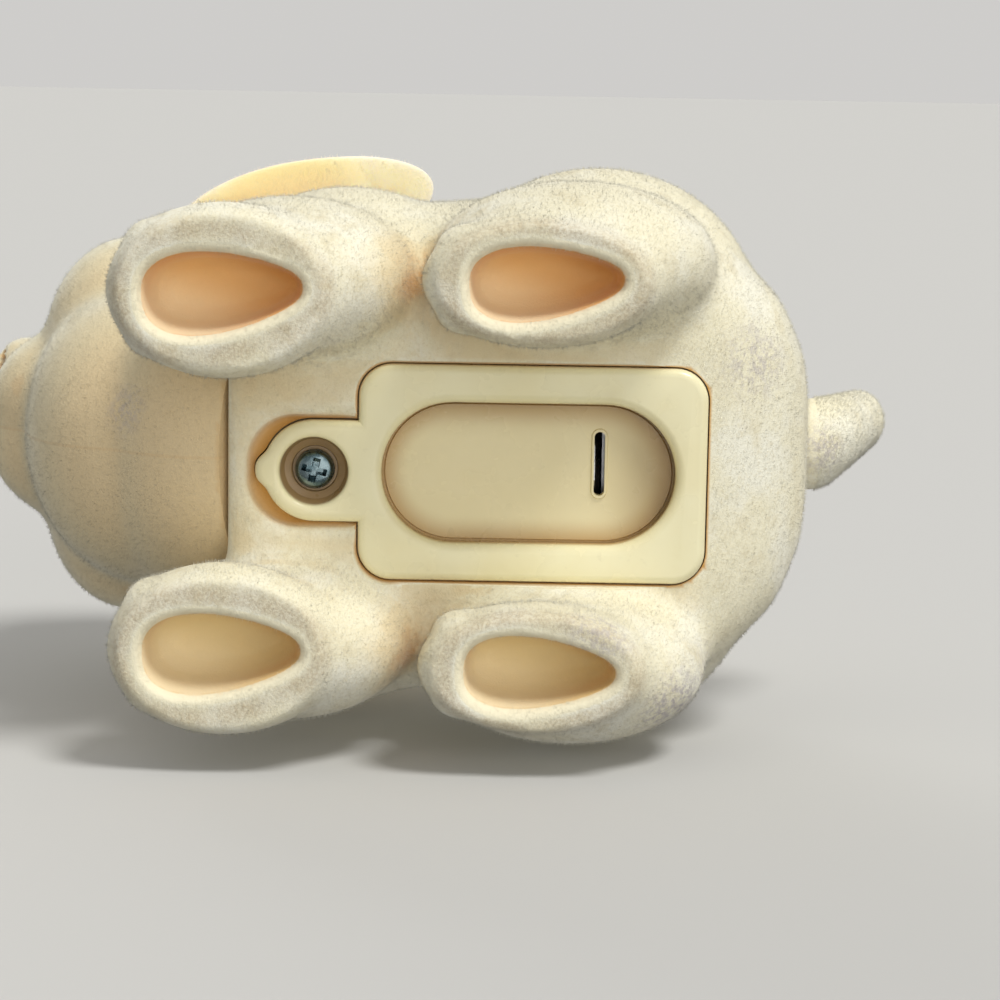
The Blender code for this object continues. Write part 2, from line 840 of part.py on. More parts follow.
def battery_door():
    """The belly door: plate, screw lug, sunk pan with its pull-tab slot, and two locating tabs."""
    plastic = material("door_plastic", (0.83, 0.78, 0.55), 0.35)
    plate = prism("battery_door", [
        (door_outline(-door_edge), door_bottom),
        (door_outline(-door_edge / 4), door_bottom + door_edge / 3),
        (door_outline(0), door_bottom + door_edge),
        (door_outline(0), door_top),
    ], plastic)
    lug = prism("lug_body", [
        (lug_outline(-door_edge), door_bottom),
        (lug_outline(-door_edge / 4), door_bottom + door_edge / 3),
        (lug_outline(0), door_bottom + door_edge),
        (lug_outline(0), door_top),
    ])
    carve(plate, lug, "UNION")
    boss = disc((door_x, screw_y), screw_well_radius + pan_wall, 28)
    carve(plate, prism("lug_boss", [(boss, door_bottom + door_edge), (boss, lug_top)]), "UNION")
    centre = (door_x, recess_y)
    pan = stadium(centre, recess_width + 2 * pan_wall, recess_length + 2 * pan_wall)
    carve(plate, prism("pan_body", [(pan, door_bottom + door_edge), (pan, pan_top)]), "UNION")
    wide = stadium(centre, recess_width + 2 * recess_lip, recess_length + 2 * recess_lip)
    mid = stadium(centre, recess_width + recess_lip / 2, recess_length + recess_lip / 2)
    inner = stadium(centre, recess_width, recess_length)
    carve(plate, prism("recess", [
        (wide, door_bottom - overrun),
        (wide, door_bottom),
        (mid, door_bottom + recess_lip / 3),
        (inner, door_bottom + recess_lip),
        (inner, recess_top),
    ]))
    slot = stadium((slot_x, slot_y), slot_width, slot_length, 4)
    across = [(slot_x + (y - slot_y), slot_y + (x - slot_x)) for x, y in reversed(slot)]
    carve(plate, prism("pull_slot", [(across, recess_top - overrun), (across, pan_top + overrun)]))
    spot = upright(door_x, screw_y, 0)
    profile = [
        (0, door_bottom - overrun),
        (screw_well_radius, door_bottom - overrun),
        (screw_well_radius, door_bottom),
        (screw_well_radius - screw_well_lip, door_bottom + screw_well_lip),
        (screw_well_radius - screw_well_lip, screw_head_z),
        (screw_seat_radius, screw_head_z + running_gap),
        (screw_seat_radius, screw_seat_z + running_gap),
        (screw_shank_radius + running_gap, screw_seat_z + running_gap),
        (screw_shank_radius + running_gap, lug_top + overrun),
        (0, lug_top + overrun),
    ]
    carve(plate, turned("screw_well", profile, spot, sides=28))
    end = door_y + door_length / 2
    for sign in (1, -1):
        x = door_x + sign * tab_spread
        low = (x - tab_width / 2, end - tab_length - door_edge, door_top - overrun / 4)
        high = (x + tab_width / 2, end - door_edge, door_top + tab_height)
        carve(plate, block(f"door_tab_{sign + 1}", low, high), "UNION")


def door_screw():
    """The cross-head screw of the door and the washer that keeps it there."""
    zinc = material("screw_zinc", (0.62, 0.64, 0.66), 0.3, 1.0)
    rim = screw_head_height / 2
    profile = [
        (0, screw_head_z),
        (screw_head_radius * 3 / 5, screw_head_z + rim / 7),
        (screw_head_radius * 9 / 10, screw_head_z + rim / 2),
        (screw_head_radius, screw_head_z + rim),
        (screw_head_radius, screw_seat_z),
        (screw_shank_radius, screw_seat_z),
        (screw_shank_radius, screw_seat_z + screw_length - screw_shank_radius),
        (screw_shank_radius / 3, screw_seat_z + screw_length),
        (0, screw_seat_z + screw_length),
    ]
    screw = turned("door_screw", profile, upright(door_x, screw_y, 0), zinc, sides=20)
    for name, across, along in (
        ("cross_a", screw_cross_span, screw_cross_width),
        ("cross_b", screw_cross_width, screw_cross_span),
    ):
        low = (door_x - across / 2, screw_y - along / 2, screw_head_z - overrun)
        high = (door_x + across / 2, screw_y + along / 2, screw_head_z + screw_cross_depth)
        carve(screw, block(name, low, high))
    steel = material("keeper_steel", (0.5, 0.5, 0.52), 0.4, 1.0)
    bore = screw_shank_radius + running_gap
    section = [(bore, 0), (keeper_radius, 0), (keeper_radius, keeper_thickness), (bore, keeper_thickness)]
    ring("screw_retainer", section, upright(door_x, screw_y, keeper_z), steel, sides=16)


def housing_outline(grow):
    """The housing's flange, wide enough to lie on the casing all round the door's opening."""
    margin = housing_flange_margin + grow
    low_y = screw_y - boss_radius - margin / 2
    high_y = door_y + door_length / 2 + margin
    middle = (door_x, (low_y + high_y) / 2)
    return rounded_box(middle, door_width + 2 * margin, high_y - low_y, door_corner)


def battery_housing():
    """The tray behind the door: flange, walls, roof, cell cradle, screw boss and board standoffs."""
    plastic = material("housing_plastic", (0.75, 0.73, 0.66), 0.5)
    flange = housing_outline(0)
    flange_top = housing_bottom + housing_flange
    tray = prism("battery_housing", [(flange, housing_bottom), (flange, flange_top)], plastic)
    well_width = recess_width + 2 * pan_wall + 2 * well_margin
    well_length = recess_length + 2 * pan_wall + 2 * well_margin
    box_size = (well_width + 2 * housing_wall, well_length + 2 * housing_wall)
    outer = rounded_box((door_x, recess_y), *box_size, door_corner)
    carve(tray, prism("tray_box", [(outer, housing_bottom + gap), (outer, roof_top)]), "UNION")
    bridge_top = lug_top + gap + housing_flange
    front = screw_y - boss_radius - housing_flange_margin / 2
    back = door_y - door_length / 2 + door_corner
    bridge_width = lug_width + 4 * gap + 2 * housing_wall
    bridge = rounded_box((door_x, (front + back) / 2), bridge_width, back - front, boss_radius)
    carve(tray, prism("lug_bridge", [(bridge, housing_bottom + gap), (bridge, bridge_top)]), "UNION")
    post = disc((door_x, screw_y), boss_radius)
    post_top = housing_bottom + boss_height
    carve(tray, prism("screw_post", [(post, housing_bottom + gap), (post, post_top)]), "UNION")
    for sign in (1, -1):
        spot = upright(door_x + sign * standoff_spread, standoff_y(sign), 0)
        profile = rod(standoff_radius, roof_top - gap, roof_top + standoff_height)
        carve(tray, turned(f"standoff_{sign + 1}", profile, spot, sides=20), "UNION")
    inner = stadium((door_x, recess_y), well_width, well_length)
    carve(tray, prism("tray_well", [(inner, housing_bottom - overrun), (inner, roof_bottom)]))
    for name, low, high in cradle_blocks():
        carve(tray, block(name, low, high), "UNION")
    lug_room = lug_outline(gap * 2)
    carve(tray, prism("lug_room", [(lug_room, housing_bottom - overrun), (lug_room, lug_top + gap)]))
    keeper_room = keeper_radius + running_gap
    top = keeper_z + keeper_thickness + gap
    bore = screw_shank_radius + running_gap
    profile = [
        (0, housing_bottom - overrun),
        (keeper_room, housing_bottom - overrun),
        (keeper_room, top),
        (bore, top),
        (bore, screw_seat_z + screw_length + gap),
        (0, screw_seat_z + screw_length + gap),
    ]
    carve(tray, turned("screw_bore", profile, upright(door_x, screw_y, 0), sides=24))
    end = door_y + door_length / 2
    for sign in (1, -1):
        x = door_x + sign * tab_spread
        low = (x - tab_width / 2 - gap, end - tab_length - door_edge - gap, housing_bottom - overrun)
        high = (x + tab_width / 2 + gap, end - door_edge + gap, door_top + tab_height + gap)
        carve(tray, block(f"tab_pocket_{sign + 1}", low, high))
    for name, y in contact_walls():
        low = (door_x - contact_tab_width / 2 - gap, y - contact_thickness / 2 - gap, roof_bottom - overrun)
        high = (door_x + contact_tab_width / 2 + gap, y + contact_thickness / 2 + gap, roof_top + overrun)
        carve(tray, block(name + "_slot", low, high))
    for sign in (1, -1):
        spot = upright(door_x + sign * standoff_spread, standoff_y(sign), 0)
        hole = board_screw_radius + gap / 2
        profile = rod(hole, roof_top, roof_top + standoff_height + overrun)
        carve(tray, turned(f"board_hole_{sign + 1}", profile, spot, sides=16))


def standoff_y(sign):
    """The two standoffs stand at opposite corners of the board."""
    return recess_y + sign * (board_length / 2 - standoff_radius * 2) - standoff_radius


def can_place():
    """The motion sensor stands behind the front board screw."""
    return (can_x, standoff_y(-1) + board_screw_head_radius + can_gap + can_radius)


def contact_walls():
    """Where the two leaf contacts stand, in front of and behind the row of cells."""
    front = cell_stack_y - contact_bow - contact_thickness
    back = cell_stack_end + gap + contact_thickness / 2
    return (("negative_contact", front), ("positive_contact", back))


def cradle_blocks():
    """Side rails and end walls that hold the row of cells, hanging from the roof."""
    rail = cell_diameter / 2 + gap
    low_z = cell_axis_z - cell_diameter / 6
    front, back = (y for name, y in contact_walls())
    front_face = front - contact_thickness / 2 - gap
    back_face = back + contact_thickness / 2 + gap
    top = roof_bottom + gap
    blocks = []
    for sign in (1, -1):
        near = door_x + sign * rail
        far = door_x + sign * (rail + cradle_wall)
        low = (min(near, far), front_face, low_z)
        high = (max(near, far), back_face, top)
        blocks.append((f"cradle_rail_{sign + 1}", low, high))
    half = rail + cradle_wall
    for name, low_y, high_y in (
        ("front_wall", front_face - end_wall, front_face),
        ("back_wall", back_face, back_face + end_wall),
    ):
        blocks.append((name, (door_x - half, low_y, low_z), (door_x + half, high_y, top)))
    return blocks


def cells():
    """Three button cells on edge in a row: can, crimped edge and the smaller cap."""
    metal = material("cell_steel", (0.7, 0.7, 0.7), 0.25, 1.0)
    radius = cell_diameter / 2
    for number in range(cell_count):
        y = cell_stack_y + number * (cell_thickness + gap)
        spot = aim((door_x, y, cell_axis_z), (0, 1, 0))
        profile = [
            (0, 0),
            (cell_cap_radius, 0),
            (cell_cap_radius, cell_cap_height),
            (radius - cell_can_edge, cell_cap_height),
            (radius, cell_cap_height + cell_can_edge),
            (radius, cell_thickness - cell_can_edge),
            (radius - cell_can_edge, cell_thickness),
            (0, cell_thickness),
        ]
        turned(f"button_cell_{number + 1}", profile, spot, metal, sides=20)


def contacts():
    """Leaf contacts: a bowed one before the row and a flat one behind it, with tabs up to the roof."""
    plated = material("contact_nickel", (0.72, 0.71, 0.66), 0.3, 1.0)
    bottom = cell_axis_z - cell_diameter / 4
    top = roof_bottom - gap
    for name, y in contact_walls():
        bow = contact_bow if name == "negative_contact" else 0
        steps = 8
        rings = []
        for i in range(steps + 1):
            t = i / steps
            z = bottom + (top - bottom) * t
            shift = y + (bow - gap) * math.sin(math.pi * t) if bow else y
            half = contact_width / 2
            thick = contact_thickness / 2
            rings.append([
                (door_x - half, shift - thick, z),
                (door_x + half, shift - thick, z),
                (door_x + half, shift + thick, z),
                (door_x - half, shift + thick, z),
            ])
        bm = bmesh.new()
        stack_rings(bm, rings)
        leaf = add_mesh(name, bm, plated)
        half = contact_tab_width / 2
        low = (door_x - half, y - contact_thickness / 2, top - gap)
        high = (door_x + half, y + contact_thickness / 2, roof_top + contact_tab_rise)
        carve(leaf, block(name + "_tab", low, high), "UNION")


def circuit_board():
    """The board on its standoffs with two screws, chip cover, capacitor, resistors and motion sensor."""
    green = material("board_green", (0.03, 0.16, 0.07), 0.45)
    outline = rounded_box((door_x, board_y), board_width, board_length, standoff_radius / 2, 3)
    board = prism("circuit_board", [(outline, board_bottom), (outline, board_top)], green)
    steel = material("board_screw_steel", (0.55, 0.55, 0.56), 0.35, 1.0)
    for number, sign in enumerate((1, -1), 1):
        x = door_x + sign * standoff_spread
        y = standoff_y(sign)
        hole = board_screw_radius + gap / 2
        profile = rod(hole, board_bottom - overrun, board_top + overrun)
        carve(board, turned(f"board_cut_{sign + 1}", profile, upright(x, y, 0), sides=16))
        seat = board_top + gap / 2
        profile = [
            (0, seat - board_screw_length),
            (board_screw_radius, seat - board_screw_length),
            (board_screw_radius, seat),
            (board_screw_head_radius, seat),
            (board_screw_head_radius, seat + board_screw_head * 2 / 3),
            (board_screw_head_radius * 2 / 3, seat + board_screw_head),
            (0, seat + board_screw_head),
        ]
        turned(f"board_screw_{number}", profile, upright(x, y, 0), steel, sides=16)
    seat = board_top + gap
    black = material("chip_epoxy", (0.015, 0.015, 0.017), 0.3)
    profile = [(0, seat), (chip_radius, seat)]
    for step in range(1, 4):
        angle = math.radians(90 * step / 4)
        profile.append((chip_radius * math.cos(angle), seat + chip_height * math.sin(angle)))
    profile.append((0, seat + chip_height))
    turned("chip_cover", profile, upright(*chip_place, 0), black, sides=20)
    sleeve = material("capacitor_sleeve", (0.02, 0.03, 0.09), 0.35)
    edge = capacitor_radius / 6
    profile = [
        (0, seat),
        (capacitor_radius, seat),
        (capacitor_radius, seat + capacitor_height - edge),
        (capacitor_radius - edge, seat + capacitor_height),
        (0, seat + capacitor_height),
    ]
    turned("capacitor", profile, upright(*capacitor_place, 0), sleeve, sides=20)
    ceramic = material("resistor_ceramic", (0.03, 0.03, 0.03), 0.5)
    for number in range(resistor_count):
        x, y = resistor_place
        y -= number * resistor_pitch
        half_x, half_y, high = resistor_size[1] / 2, resistor_size[0] / 2, resistor_size[2]
        low = (x - half_x, y - half_y, seat)
        block(f"resistor_{number + 1}", low, (x + half_x, y + half_y, seat + high), ceramic)


def motion_sensor():
    """A small can with a loose ball that rolls up and down in it."""
    gold = material("sensor_brass", (0.75, 0.6, 0.3), 0.3, 1.0)
    seat = board_top + gap
    inner = can_radius - can_wall
    top = seat + can_height
    profile = [
        (can_vent_radius, top),
        (can_vent_radius, top - can_wall),
        (inner, top - can_wall),
        (inner, seat + can_wall),
        (0, seat + can_wall),
    ]
    outer = [(0, seat), (can_radius, seat), (can_radius, top)]
    turned("sensor_can", outer + profile, upright(*can_place(), 0), gold, sides=20)
    steel = material("ball_steel", (0.7, 0.7, 0.7), 0.15, 1.0)
    bm = bmesh.new()
    bmesh.ops.create_uvsphere(bm, u_segments=16, v_segments=8, radius=ball_radius)
    add_mesh("sensor_ball", bm, steel, place=upright(*can_place(), seat + can_wall + gap + ball_radius))


def speaker():
    """A small speaker on the board: magnet below, cup frame, cone in its rim."""
    steel = material("speaker_steel", (0.4, 0.4, 0.42), 0.4, 1.0)
    seat = board_top + gap
    spot = upright(door_x, speaker_y, 0)
    edge = magnet_radius / 12
    profile = [
        (0, seat),
        (magnet_radius - edge, seat),
        (magnet_radius, seat + edge),
        (magnet_radius, seat + magnet_height),
        (0, seat + magnet_height),
    ]
    magnet = material("magnet_grey", (0.12, 0.12, 0.13), 0.5, 0.6)
    turned("speaker_magnet", profile, spot, magnet, sides=24)
    base = seat + magnet_height + gap
    top = base + speaker_height
    inner = speaker_radius - speaker_wall
    profile = [
        (0, base),
        (magnet_radius, base),
        (speaker_radius, top - speaker_rim),
        (speaker_radius, top),
        (inner, top),
        (inner, top - speaker_rim + speaker_wall),
        (magnet_radius - speaker_wall, base + speaker_wall),
        (0, base + speaker_wall),
    ]
    turned("speaker_frame", profile, spot, steel, sides=20)
    paper = material("cone_paper", (0.05, 0.05, 0.05), 0.7)
    rim = inner - gap
    flat_rim = rim - 2 * speaker_wall
    rim_low = top - speaker_rim + speaker_wall + gap
    low = rim_low - cone_depth
    profile = [
        (0, low),
        (cone_dome_radius, low),
        (flat_rim, rim_low),
        (rim, rim_low),
        (rim, rim_low + cone_thickness),
        (flat_rim, rim_low + cone_thickness),
        (cone_dome_radius, low + cone_thickness),
        (cone_dome_radius / 2, low + cone_thickness * 2),
        (0, low + cone_thickness * 2.5),
    ]
    turned("speaker_cone", profile, spot, paper, sides=20)


def neck_bearing():
    """The head's spindle through both neck walls, with a washer and screw behind the casing's neck wall."""
    plastic = material("spindle_plastic", (0.8, 0.8, 0.78), 0.5)
    head_inside = running_gap + head_wall + gap
    casing_inside = -neck_face_wall - running_gap
    bore = spindle_bore
    profile = [
        (0, casing_inside),
        (spindle_radius, casing_inside),
        (spindle_radius, head_inside),
        (spindle_flange_radius, head_inside),
        (spindle_flange_radius, head_inside + spindle_flange),
        (bore, head_inside + spindle_flange),
        (bore, casing_inside + neck_web),
        (0, casing_inside + neck_web),
    ]
    spindle = turned("neck_spindle", profile, neck_place, plastic, sides=24)
    hole = neck_screw_radius + gap / 2
    profile = rod(hole, casing_inside - overrun, casing_inside + neck_web + overrun)
    carve(spindle, turned("spindle_screw_hole", profile, neck_place, sides=20))
    steel = material("neck_washer_steel", (0.58, 0.58, 0.6), 0.35, 1.0)
    top = casing_inside - gap
    section = [
        (hole, top - neck_washer_thickness),
        (neck_washer_radius, top - neck_washer_thickness),
        (neck_washer_radius, top),
        (hole, top),
    ]
    ring("neck_washer", section, neck_place, steel, sides=24)
    seat = top - neck_washer_thickness - gap
    profile = [
        (0, seat - neck_screw_head),
        (neck_screw_head_radius * 2 / 3, seat - neck_screw_head),
        (neck_screw_head_radius, seat - neck_screw_head / 2),
        (neck_screw_head_radius, seat),
        (neck_screw_radius, seat),
        (neck_screw_radius, seat + neck_screw_length),
        (0, seat + neck_screw_length),
    ]
    turned("neck_screw", profile, neck_place, steel, sides=20)


def wire_path(points, samples=3):
    """A smooth curve through a wire's few hand-placed points."""
    padded = [points[0]] + points + [points[-1]]
    path = []
    for a, b, c, d in zip(padded, padded[1:], padded[2:], padded[3:]):
        for i in range(samples):
            t = i / samples
            bend = 2 * a - 5 * b + 4 * c - d
            twist = 3 * b - a - 3 * c + d
            path.append((2 * b + (c - a) * t + bend * t**2 + twist * t**3) / 2)
    path.append(points[-1])
    return path


def wire(name, route, colour):
    """A thin insulated wire as a bevelled curve with closed ends."""
    curve = bpy.data.curves.new(name, "CURVE")
    curve.dimensions = "3D"
    curve.bevel_depth = wire_radius
    curve.bevel_resolution = 1
    curve.use_fill_caps = True
    path = wire_path([Vector(point) for point in route])
    spline = curve.splines.new("POLY")
    spline.points.add(len(path) - 1)
    for spot, place in zip(spline.points, path):
        spot.co = (*place, 1)
    curve.materials.append(material(name + "_insulation", colour, 0.45))
    item = bpy.data.objects.new(name, curve)
    bpy.context.scene.collection.objects.link(item)
    return item


def all_wires():
    """Wires from the contacts' tabs and from the speaker to the board's edge."""
    edge = door_x + board_width / 2
    lift = board_top + gap + wire_radius
    level = (roof_top + board_bottom) / 2
    kinds = (("black_battery_wire", (0.02, 0.02, 0.02), 0), ("red_battery_wire", (0.5, 0.02, 0.02), wire_loop))
    for (_, y), (name, colour, inward) in zip(contact_walls(), kinds):
        side_y = y - inward
        start = door_x + contact_tab_width / 2 + gap + wire_radius
        route = [
            (start, y, level),
            (edge - wire_loop / 2, side_y, level),
            (edge + wire_loop / 2, side_y, level + wire_loop / 3),
            (edge + wire_loop / 3, side_y, lift + wire_loop / 3),
            (edge - wire_loop / 3, side_y, lift),
        ]
        wire(name, route, colour)
    for number, sign in enumerate((1, -1), 1):
        x = door_x - board_width / 2 + wire_loop / 2
        y = speaker_y + sign * wire_spread / 2
        frame_z = board_top + gap + magnet_height + gap + speaker_height / 2
        route = [
            (x - wire_loop, y, frame_z + wire_loop / 3),
            (x - wire_loop * 1.3, y, frame_z - wire_loop / 4),
            (x - wire_loop / 2, y, lift + wire_loop / 6),
            (x, y, lift),
        ]
        wire(f"speaker_wire_{number}", route, (0.02, 0.02, 0.02))


def pivot(name, place, pieces):
    """Hangs the pieces that move together on an empty at their joint."""
    joint = bpy.data.objects.new(name, None)
    joint.matrix_world = place
    bpy.context.scene.collection.objects.link(joint)
    for piece in pieces:
        item = bpy.data.objects[piece]
        item.parent = joint
        item.matrix_parent_inverse = place.inverted()


def joints():
    """What moves together: the head on the neck's axis, the tail, the door, the screw and its keeper."""
    shell = ["head_left_half", "head_right_half", "left_ear", "right_ear", "left_eye", "right_eye", "nose"]
    pivot("neck_pivot", neck_place, shell + ["neck_spindle", "neck_washer", "neck_screw"])
    pivot("tail_pivot", tail_place(), ["tail", "tail_washer"])
    pivot("door_slide", upright(door_x, door_y, door_bottom), ["battery_door"])
    pivot("screw_axis", upright(door_x, screw_y, screw_head_z), ["door_screw", "screw_retainer"])


def build():
    """Every piece of the toy."""
    wipe_scene()
    casing()
    head()
    eyes()
    nose()
    ears()
    tail()
    battery_door()
    door_screw()
    battery_housing()
    cells()
    contacts()
    circuit_board()
    motion_sensor()
    speaker()
    neck_bearing()
    all_wires()
    joints()


build()
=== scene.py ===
import math
import random

import bmesh
import bpy
import numpy as np
from mathutils import Matrix, Vector
from mathutils.bvhtree import BVHTree


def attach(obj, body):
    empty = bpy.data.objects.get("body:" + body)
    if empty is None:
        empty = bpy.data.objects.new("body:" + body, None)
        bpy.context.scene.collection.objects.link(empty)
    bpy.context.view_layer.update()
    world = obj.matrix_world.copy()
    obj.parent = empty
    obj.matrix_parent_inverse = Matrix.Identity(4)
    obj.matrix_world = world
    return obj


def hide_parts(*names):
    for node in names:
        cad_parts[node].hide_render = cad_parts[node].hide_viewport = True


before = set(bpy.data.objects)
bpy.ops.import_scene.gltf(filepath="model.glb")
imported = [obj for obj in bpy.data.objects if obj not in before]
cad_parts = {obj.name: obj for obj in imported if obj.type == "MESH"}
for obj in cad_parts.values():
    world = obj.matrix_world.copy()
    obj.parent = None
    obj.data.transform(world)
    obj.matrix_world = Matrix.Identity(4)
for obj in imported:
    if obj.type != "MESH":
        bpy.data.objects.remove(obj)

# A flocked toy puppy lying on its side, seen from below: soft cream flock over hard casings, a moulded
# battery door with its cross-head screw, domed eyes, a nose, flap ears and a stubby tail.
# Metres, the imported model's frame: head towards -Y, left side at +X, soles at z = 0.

bpy.ops.object.select_all(action="DESELECT")
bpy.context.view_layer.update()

# Sizes the skin shares with the casing
gap = 0.0003
half_length = 0.0507
belly_z = 0.012
back_z = 0.050
torso_front_y = -0.030
rump_y = 0.0408
torso_half_width = 0.0262
casing_wall = 0.0018
station_shares = [0, 0.17, 0.35, 0.56, 0.73, 0.86, 0.945, 0.985, 1]
width_shares = [0.74, 0.78, 0.96, 1, 0.98, 0.84, 0.63, 0.40, 0.15]
square_shares = [0.75, 0.76, 0.86, 1, 1, 0.97, 0.9, 0.82, 0.76]
bottom_shares = [0.02, 0, 0, 0, 0, 0.02, 0.13, 0.25, 0.44]
top_shares = [0.97, 1, 1, 1, 0.98, 0.92, 0.82, 0.7, 0.54]
forepaw = (0.0178, -0.0195, 0.0036)
hindpaw = (0.0192, 0.0115, 0.0036)
body_swellings = [
    ((0.0150, -0.0085, 0.0260), (0.0124, 0.0150, 0.0148)),
    ((0.0186, -0.0138, 0.0135), (0.0082, 0.0130, 0.0130)),
    (forepaw, (0.0089, 0.0119, 0.0076)),
    ((0.0150, 0.0178, 0.0262), (0.0148, 0.0168, 0.0146)),
    ((0.0208, 0.0150, 0.0130), (0.0080, 0.0145, 0.0125)),
    (hindpaw, (0.0067, 0.0122, 0.0076)),
]
cranium = ((0, -0.0250, 0.0478), (0.0250, 0.0190, 0.0226))
middle_swellings = [
    ((0, -0.0250, 0.0478), (0.0242, 0.0190, 0.0226)),
    ((0, -0.0222, 0.0332), (0.0196, 0.0150, 0.0208)),
    ((0, -0.0300, 0.0340), (0.0168, 0.0140, 0.0165)),
    ((0, -0.0398, 0.0455), (0.0088, 0.0096, 0.0082)),
]
side_swellings = [
    ((0.0022, -0.0380, 0.0395), (0.0090, 0.0112, 0.0085)),
    ((0.0086, -0.0330, 0.0400), (0.0124, 0.0100, 0.0110)),
    ((0.0050, -0.0460, 0.0460), (0.0042, 0.0042, 0.0039)),
    ((0.0076, -0.0318, 0.0575), (0.0100, 0.0090, 0.0085)),
]
neck_lean = math.radians(18)
neck_radius = 0.0195
neck_axis = Vector((0, -math.cos(neck_lean), math.sin(neck_lean)))
neck_up = Vector((0, math.sin(neck_lean), math.cos(neck_lean)))
neck_centre = Vector((0, -0.0208, belly_z)) + neck_radius * neck_up
head_swing = math.radians(20)
spindle_radius = 0.0055
# Each sole's hollow: middle across, middle along, half width, length, turn in degrees
soles = [
    (forepaw[0], -0.0194, 0.0039, 0.0153, -4.5),
    (hindpaw[0], 0.0120, 0.0035, 0.0147, -4),
    (-forepaw[0], -0.0194, 0.0039, 0.0153, -3),
    (-hindpaw[0], 0.0120, 0.0035, 0.0147, 0),
]
sole_depth = 0.0076
door_x = -0.0011
door_y = 0.01105
door_width = 0.0222
door_length = 0.0355
door_corner = 0.0034
door_bottom = belly_z - 0.0002
door_top = belly_z + 0.0017
lug_half = 0.0052
nib_height = 0.0008
pocket_front = -0.0181
screw_y = -0.0112
recess_y = 0.01065
recess_width = 0.0145
recess_length = 0.0300
recess_top = 0.0142
door_gap = 0.00015
slot_width = 0.0011
slot_length = 0.0066
well_radius = 0.0035
slot_x = -0.0001
slot_y = 0.0179
tail_z = 0.0325
eye_spot = Vector((0.0104, -0.0396, 0.0535))
eye_radius = 0.0036
eye_look = Vector((0.37, -0.91, 0.15)).normalized()
nose_spot = Vector((0, -0.0476, 0.0498))
smile_spot = (0.0035, -0.0484, 0.0462)
ear_root = Vector((0.0172, -0.0194, 0.0618))
fibre_shortest = 0.00020
fibre_longest = 0.00046
fibre_radius = 0.000024
fibre_scatter = 0.34


# Workshop helpers

def only(piece):
    """Selects one piece alone and makes it active."""
    bpy.ops.object.select_all(action="DESELECT")
    piece.select_set(True)
    bpy.context.view_layer.objects.active = piece


def modify(piece, kind, **settings):
    """Adds one modifier and applies it."""
    only(piece)
    step = piece.modifiers.new(kind.lower(), kind)
    for key, value in settings.items():
        setattr(step, key, value)
    bpy.ops.object.modifier_apply(modifier=step.name)


def settle(piece):
    """Puts a piece's place into its mesh."""
    only(piece)
    bpy.ops.object.transform_apply(location=True, rotation=True, scale=True)
    return piece


def join(pieces, name):
    """Makes several meshes one."""
    bpy.ops.object.select_all(action="DESELECT")
    for piece in pieces:
        piece.select_set(True)
    bpy.context.view_layer.objects.active = pieces[0]
    if len(pieces) > 1:
        bpy.ops.object.join()
    whole = bpy.context.view_layer.objects.active
    whole.name = name
    whole.data.name = name
    return settle(whole)


def cut(piece, tool, operation="DIFFERENCE"):
    """Cuts a piece with a tool, or joins them, and clears the tool."""
    modify(piece, "BOOLEAN", operation=operation, solver="EXACT", object=tool)
    bpy.data.objects.remove(tool, do_unlink=True)


def melt(piece, voxel, passes):
    """Melts overlapping swellings into one soft skin."""
    modify(piece, "REMESH", mode="VOXEL", voxel_size=voxel)
    modify(piece, "SMOOTH", factor=0.5, iterations=passes)


def choose(piece, kind, test):
    """Edit mode with only the parts chosen that pass a test."""
    only(piece)
    bpy.ops.object.mode_set(mode="EDIT")
    bpy.ops.mesh.select_mode(type=kind)
    bpy.ops.mesh.select_all(action="DESELECT")
    bm = bmesh.from_edit_mesh(piece.data)
    found = {"VERT": bm.verts, "EDGE": bm.edges, "FACE": bm.faces}[kind]
    for part in found:
        if test(part):
            part.select_set(True)
    bm.select_flush_mode()
    bmesh.update_edit_mesh(piece.data)


def done():
    """Back to object mode."""
    bpy.ops.object.mode_set(mode="OBJECT")


def shade(piece, degrees=35):
    """Smooth shading with sharp edges kept."""
    only(piece)
    bpy.ops.object.shade_smooth_by_angle(angle=math.radians(degrees))


def swelling(centre, radii, segments=40):
    """One rounded swelling, the start of a melted form."""
    bpy.ops.mesh.primitive_uv_sphere_add(
        segments=segments, ring_count=segments // 2, radius=1, location=centre, scale=radii)
    return settle(bpy.context.object)


def both_sides(centre, radii):
    """A swelling and its mirror image."""
    x, y, z = centre
    return [swelling(centre, radii), swelling((-x, y, z), radii)]


def block(low, high):
    """A plain cutting block."""
    low, high = Vector(low), Vector(high)
    bpy.ops.mesh.primitive_cube_add(size=1, location=(low + high) / 2, scale=high - low)
    return settle(bpy.context.object)


def bring_in(name, data):
    """A new object in the scene from its mesh, lamp or camera data."""
    item = bpy.data.objects.new(name, data)
    bpy.context.scene.collection.objects.link(item)
    return item


def face_out(piece):
    """Turns every face outward."""
    choose(piece, "FACE", lambda face: True)
    bpy.ops.mesh.normals_make_consistent(inside=False)
    done()


def loft(name, rings):
    """A closed skin over a row of rings of equally many points, for forms with drawn cross-sections."""
    count = len(rings[0])
    points = [tuple(point) for ring in rings for point in ring]
    faces = []
    for row in range(len(rings) - 1):
        for i in range(count):
            j = (i + 1) % count
            a = row * count
            faces.append((a + i, a + j, a + count + j, a + count + i))
    faces.append(tuple(reversed(range(count))))
    faces.append(tuple(range(len(points) - count, len(points))))
    mesh = bpy.data.meshes.new(name)
    mesh.from_pydata(points, [], faces)
    piece = bring_in(name, mesh)
    face_out(piece)
    return piece


